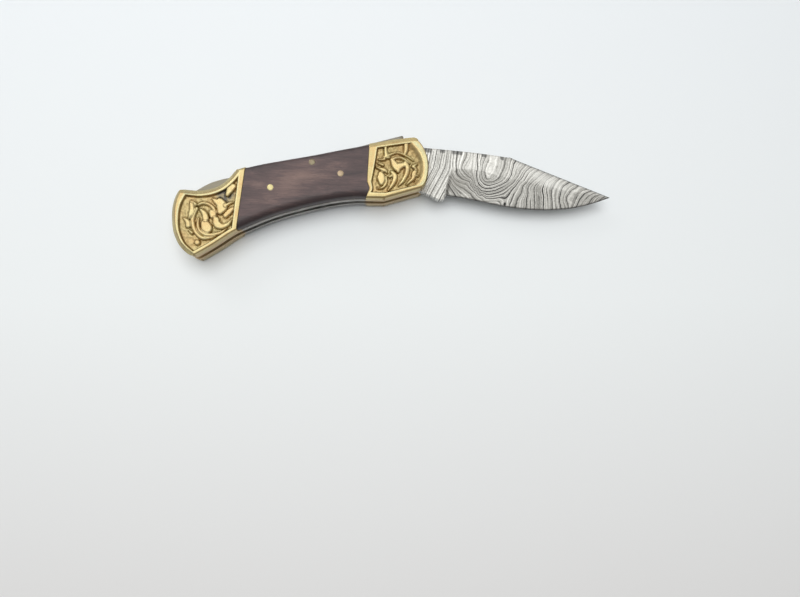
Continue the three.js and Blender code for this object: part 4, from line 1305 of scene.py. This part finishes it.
def straight_layers(x, y):
    """Height of plain slanting layers, which stand steeper near the spine."""
    low, high = np.minimum(y, SLANT_CHANGE) - PLUNGE_TOP[1], np.maximum(y - SLANT_CHANGE, 0)
    return HEIGHT_AT_PLUNGE + (PLUNGE_TOP[0] - x + LOW_SLANT * low + HIGH_SLANT * high) / LAYER_STEP


fold, straight = surface_through(LAYER_LINES, blade_net[0]), straight_layers(bx, by)
past_plunge = smoothstep(bx - plunge_x, *LOW_CHANGE)
folded = np.where(by < PLUNGE_TOP[1], past_plunge, smoothstep(bx, *HIGH_CHANGE))
layers = straight + (fold - straight) * folded
print("layer heights from", layers.min().round(1), "to", layers.max().round(1))

# %% [markdown]
# ### Places that differ along the blade
#
# The etching is crisp round the deep fold. Just behind the plunge line a grey patch of low
# contrast is painted shade, for the dimmer light that the ground face reflects there. A bright
# streak towards the point is a painted highlight. The ground faces are painted a shade darker
# than the flat ones, as painted shade, and dark rims follow the edge and the swedge, with a few
# dark spots under the spine.

# %% Places that differ
DARK_SPOTS = [(7.3, 9.6, 1.5), (12.0, 13.6, 1.2), (15.6, 18.6, 1.3), (24.3, 26.0, 1.1), (30.0, 31.2, 1.2)]
SPOT_DARKNESS, SPOT_FADE, SPOT_DEPTH_FADE = 0.8, 0.2, 0.3
EDGE_RIM, BACK_RIM, RIM_FROM = 0.5, 0.35, 14
TANG_TONE, TANG_END = 0.55, 16

clear_lines = soft_spot(bx, by, (27, -5.5), (8.0, 3.6))
# Painted highlight: a bright streak towards the point.
painted_glint = soft_spot(bx, by, (43.5, -2.6), (5.5, 1.7), slope=-0.45)
# Painted shade: a grey patch of low contrast just behind the plunge line, for the dimmer reflection there.
painted_grey_patch = soft_spot(bx, by, (17.5, -3.2), (4.5, 3.4)) * past_plunge
# Painted shade: the ground faces are darker, and the flat near the tang a little less.
painted_ground_shade = np.maximum(ground_share, TANG_TONE * (1 - past_plunge) * (bx < TANG_END))
rim_shade = np.clip(1 - from_edge / EDGE_RIM, 0, 1) * (bx > RIM_FROM)
rim_shade = np.maximum(rim_shade, np.clip(1 - from_back / BACK_RIM, 0, 1) * on_clip)
for start, end, depth in DARK_SPOTS:
    along = smoothstep(bx, start, start + SPOT_FADE) * (1 - smoothstep(bx, end, end + SPOT_FADE))
    under_spine = 1 - smoothstep(from_back, depth - SPOT_DEPTH_FADE, depth)
    rim_shade = np.maximum(rim_shade, SPOT_DARKNESS * along * under_spine)
print("dark spots under the spine:", len(DARK_SPOTS))

# %% [markdown]
# ### Layered steel
#
# Etched layers show as lines of three strengths: a thin one at every whole height, a stronger
# one at every second and the strongest at every fourth. Faint bands of uneven width lie between
# them. The same darkness sets the colour, the shine and a very shallow relief.

# %% Lines of the layered steel
layered, layered_shader = new_material("layered_steel", Metallic=1.0)
wobble = noise(layered, stretched(layered), 420, 4, 0.65)
wander = maths(layered, "MULTIPLY_ADD", wobble, 0.5, attribute(layered, "layers"))
layer_height = maths(layered, "SUBTRACT", wander, 0.25)


def line_mask(period, narrow, wide):
    """1 on every layer line of this spacing, falling to 0 beside it."""
    share = maths(layered, "PINGPONG", maths(layered, "DIVIDE", layer_height, period), 0.5)
    return mapped(layered, times(layered, share, period), (narrow, wide), (1.0, 0.0), soft=True)


fading = noise(layered, stretched(layered), 190, 2)
fading = ramp(layered, fading, [(0.36, (0.15,) * 3), (0.6, (1, 1, 1))])
bands = add_node(layered, "ShaderNodeTexNoise", {"noise_dimensions": "1D"}, W=layer_height,
                 Scale=2.3, Detail=3.0, Roughness=0.7)
fine_bands = ramp(layered, bands.outputs["Fac"], [(0.40, (1, 1, 1)), (0.62, (0, 0, 0))])
shown = maths(layered, "MAXIMUM", times(layered, fading, 0.7), attribute(layered, "clear_lines"))
thin_lines = times(layered, line_mask(1.0, 0.05, 0.26), shown)
darkness = maths(layered, "MULTIPLY_ADD", fine_bands, 0.42, 0.02)
darkness = maths(layered, "MAXIMUM", darkness, thin_lines)
for period, wide, strength in ((2.0, 0.26, 0.7), (4.0, 0.24, 0.88)):
    strong_lines = times(layered, line_mask(period, 0.05, wide), strength)
    darkness = maths(layered, "MAXIMUM", darkness, strong_lines)
pattern = maths(layered, "SUBTRACT", 1.0, darkness)
print("layer lines drawn by", len(layered.node_tree.nodes), "nodes")

# %% [markdown]
# ### Colour of the layered steel
#
# Etched steel is never black and white: dark layers are a soft grey and bright ones a little
# warm. The places that differ are mixed in last, each with its own tone.

# %% Colour of the layered steel
ETCHED_TONES = [(0.0, linear(230, 229, 224)), (0.5, linear(158, 157, 152)), (1.0, linear(58, 58, 58))]
# Of these places, the bright streak is a painted highlight and the grey patch is painted shade.
PLACES = [
    ("painted_glint", 0.55, linear(232, 232, 228)),
    ("painted_grey_patch", 0.65, linear(138, 136, 130)),
    ("rim_shade", 0.9, linear(66, 66, 66)),
]

speckle = maths(layered, "SUBTRACT", noise(layered, stretched(layered), 2600, 2), 0.5)
darkness = plus(layered, darkness, times(layered, speckle, 0.5))
# Painted shade on the ground faces.
darkness = plus(layered, darkness, times(layered, attribute(layered, "painted_ground_shade"), 0.14))
etched = ramp(layered, darkness, ETCHED_TONES)
for place, strength, tone in PLACES:
    etched = mix_colours(layered, times(layered, attribute(layered, place), strength), etched, tone)
layered_rough = maths(layered, "MULTIPLY_ADD", pattern, -0.3, 0.58)
feed(layered, layered_shader, Base_Color=etched, Roughness=layered_rough)
bump(layered, layered_shader, pattern, 0.06 * MM, 0.7)

blade_finish = {"layers": layers, "painted_grey_patch": painted_grey_patch, "clear_lines": clear_lines, "painted_glint": painted_glint,
                "painted_ground_shade": painted_ground_shade, "rim_shade": rim_shade}
blade = relief_solid("layered_blade", blade_net, face, -face, layered, blade_finish, sharp=25)
dress(blade, "blade", "layered_steel", "blade")

# %% [markdown]
# ## Pins
#
# Brass pins hold the wood, and the lock bar turns on the one near the spine. A pin is peened
# and filed nearly flush, so each head is a low dome with a hair-fine shadow round it. The pins
# under the bolsters never show, but they still get brass or steel of their own.

# %% Pin materials
pin_bright = make_brass("pin_brass", linear(188, 180, 136), linear(166, 152, 110), linear(90, 70, 40))
pin_pale = make_brass("pale_pin_brass", linear(158, 140, 118), linear(134, 117, 97), linear(90, 72, 58))
pin_dull = make_brass("dull_pin_brass", linear(126, 115, 96), linear(102, 92, 78), linear(72, 66, 52))

# %% Visible pins
PIN_RADIUS = 1.1
PIN_SIDES = 40
PIN_HEAD = SCALE_TOP + 0.05
HEAD_DOME = [(PIN_RADIUS, -0.18), (PIN_RADIUS * 0.93, -0.08), (PIN_RADIUS * 0.75, -0.02),
             (PIN_RADIUS * 0.4, 0.02), (0.02, 0.03)]
RIVETS = (("rear", (-37.5, -6.1), pin_bright), ("front", (-17.2, -2.0), pin_pale))


def turned_pin(name, x, y, low, high, material, both_ends=False):
    """A pin with a domed head at the top, and one below as well if both ends show."""
    foot = [(r, low - z) for r, z in HEAD_DOME[::-1]] if both_ends else [(0.02, low), (PIN_RADIUS, low)]
    profile = foot + [(r, high + z) for r, z in HEAD_DOME]
    angles = np.linspace(0, 2 * math.pi, PIN_SIDES, endpoint=False)
    vertices = np.array([(x + r * math.cos(a), y + r * math.sin(a), z) for r, z in profile for a in angles])
    faces = []
    for first in range(0, (len(profile) - 1) * PIN_SIDES, PIN_SIDES):
        for k in range(PIN_SIDES):
            here, beside = first + k, first + (k + 1) % PIN_SIDES
            faces.append((here, beside, beside + PIN_SIDES, here + PIN_SIDES))
    faces += [tuple(range(PIN_SIDES))[::-1], tuple(range(len(vertices) - PIN_SIDES, len(vertices)))]
    return make_object(name, vertices, faces, material, {"age_and_painted_light": np.zeros(len(vertices))}, 50)


rocker_head = turned_pin("rocker_pin_turned", *ROCKER, -PIN_HEAD, PIN_HEAD, pin_dull, True)
dress(rocker_head, "handle", "pin_brass", "rocker_pin")
for name, (x, y), material in RIVETS:
    upper = turned_pin(f"upper_{name}_rivet_turned", x, y, LINER_BOTTOM, PIN_HEAD, material)
    dress(upper, "handle", "pin_brass", f"upper_{name}_scale_rivet")
    lower = turned_pin(f"lower_{name}_rivet_turned", x, y, -PIN_HEAD, -LINER_BOTTOM, material, True)
    dress(lower, "handle", "pin_brass", f"lower_{name}_scale_rivet")

# %% [markdown]
# ### Hidden pins
#
# Nobody sees the pins and rivets under the bolsters, so they keep the shape that the CAD model
# gave them, and only get a finish.

# %% Pins that stay hidden
pin_steel = make_steel("pin_steel", linear(180, 178, 174), linear(120, 118, 114), 0.34)
for name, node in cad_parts.items():
    if node.hide_render:
        continue
    finish = pin_bright if "bolster_rivet" in name else pin_steel
    node.data.materials.clear()
    node.data.materials.append(finish)
    print("kept from the frame:", name)

# %% [markdown]
# ## Finish
#
# Colours are shown as they are, with no film look.

# %% Colour handling
bpy.context.scene.view_settings.view_transform = "Standard"
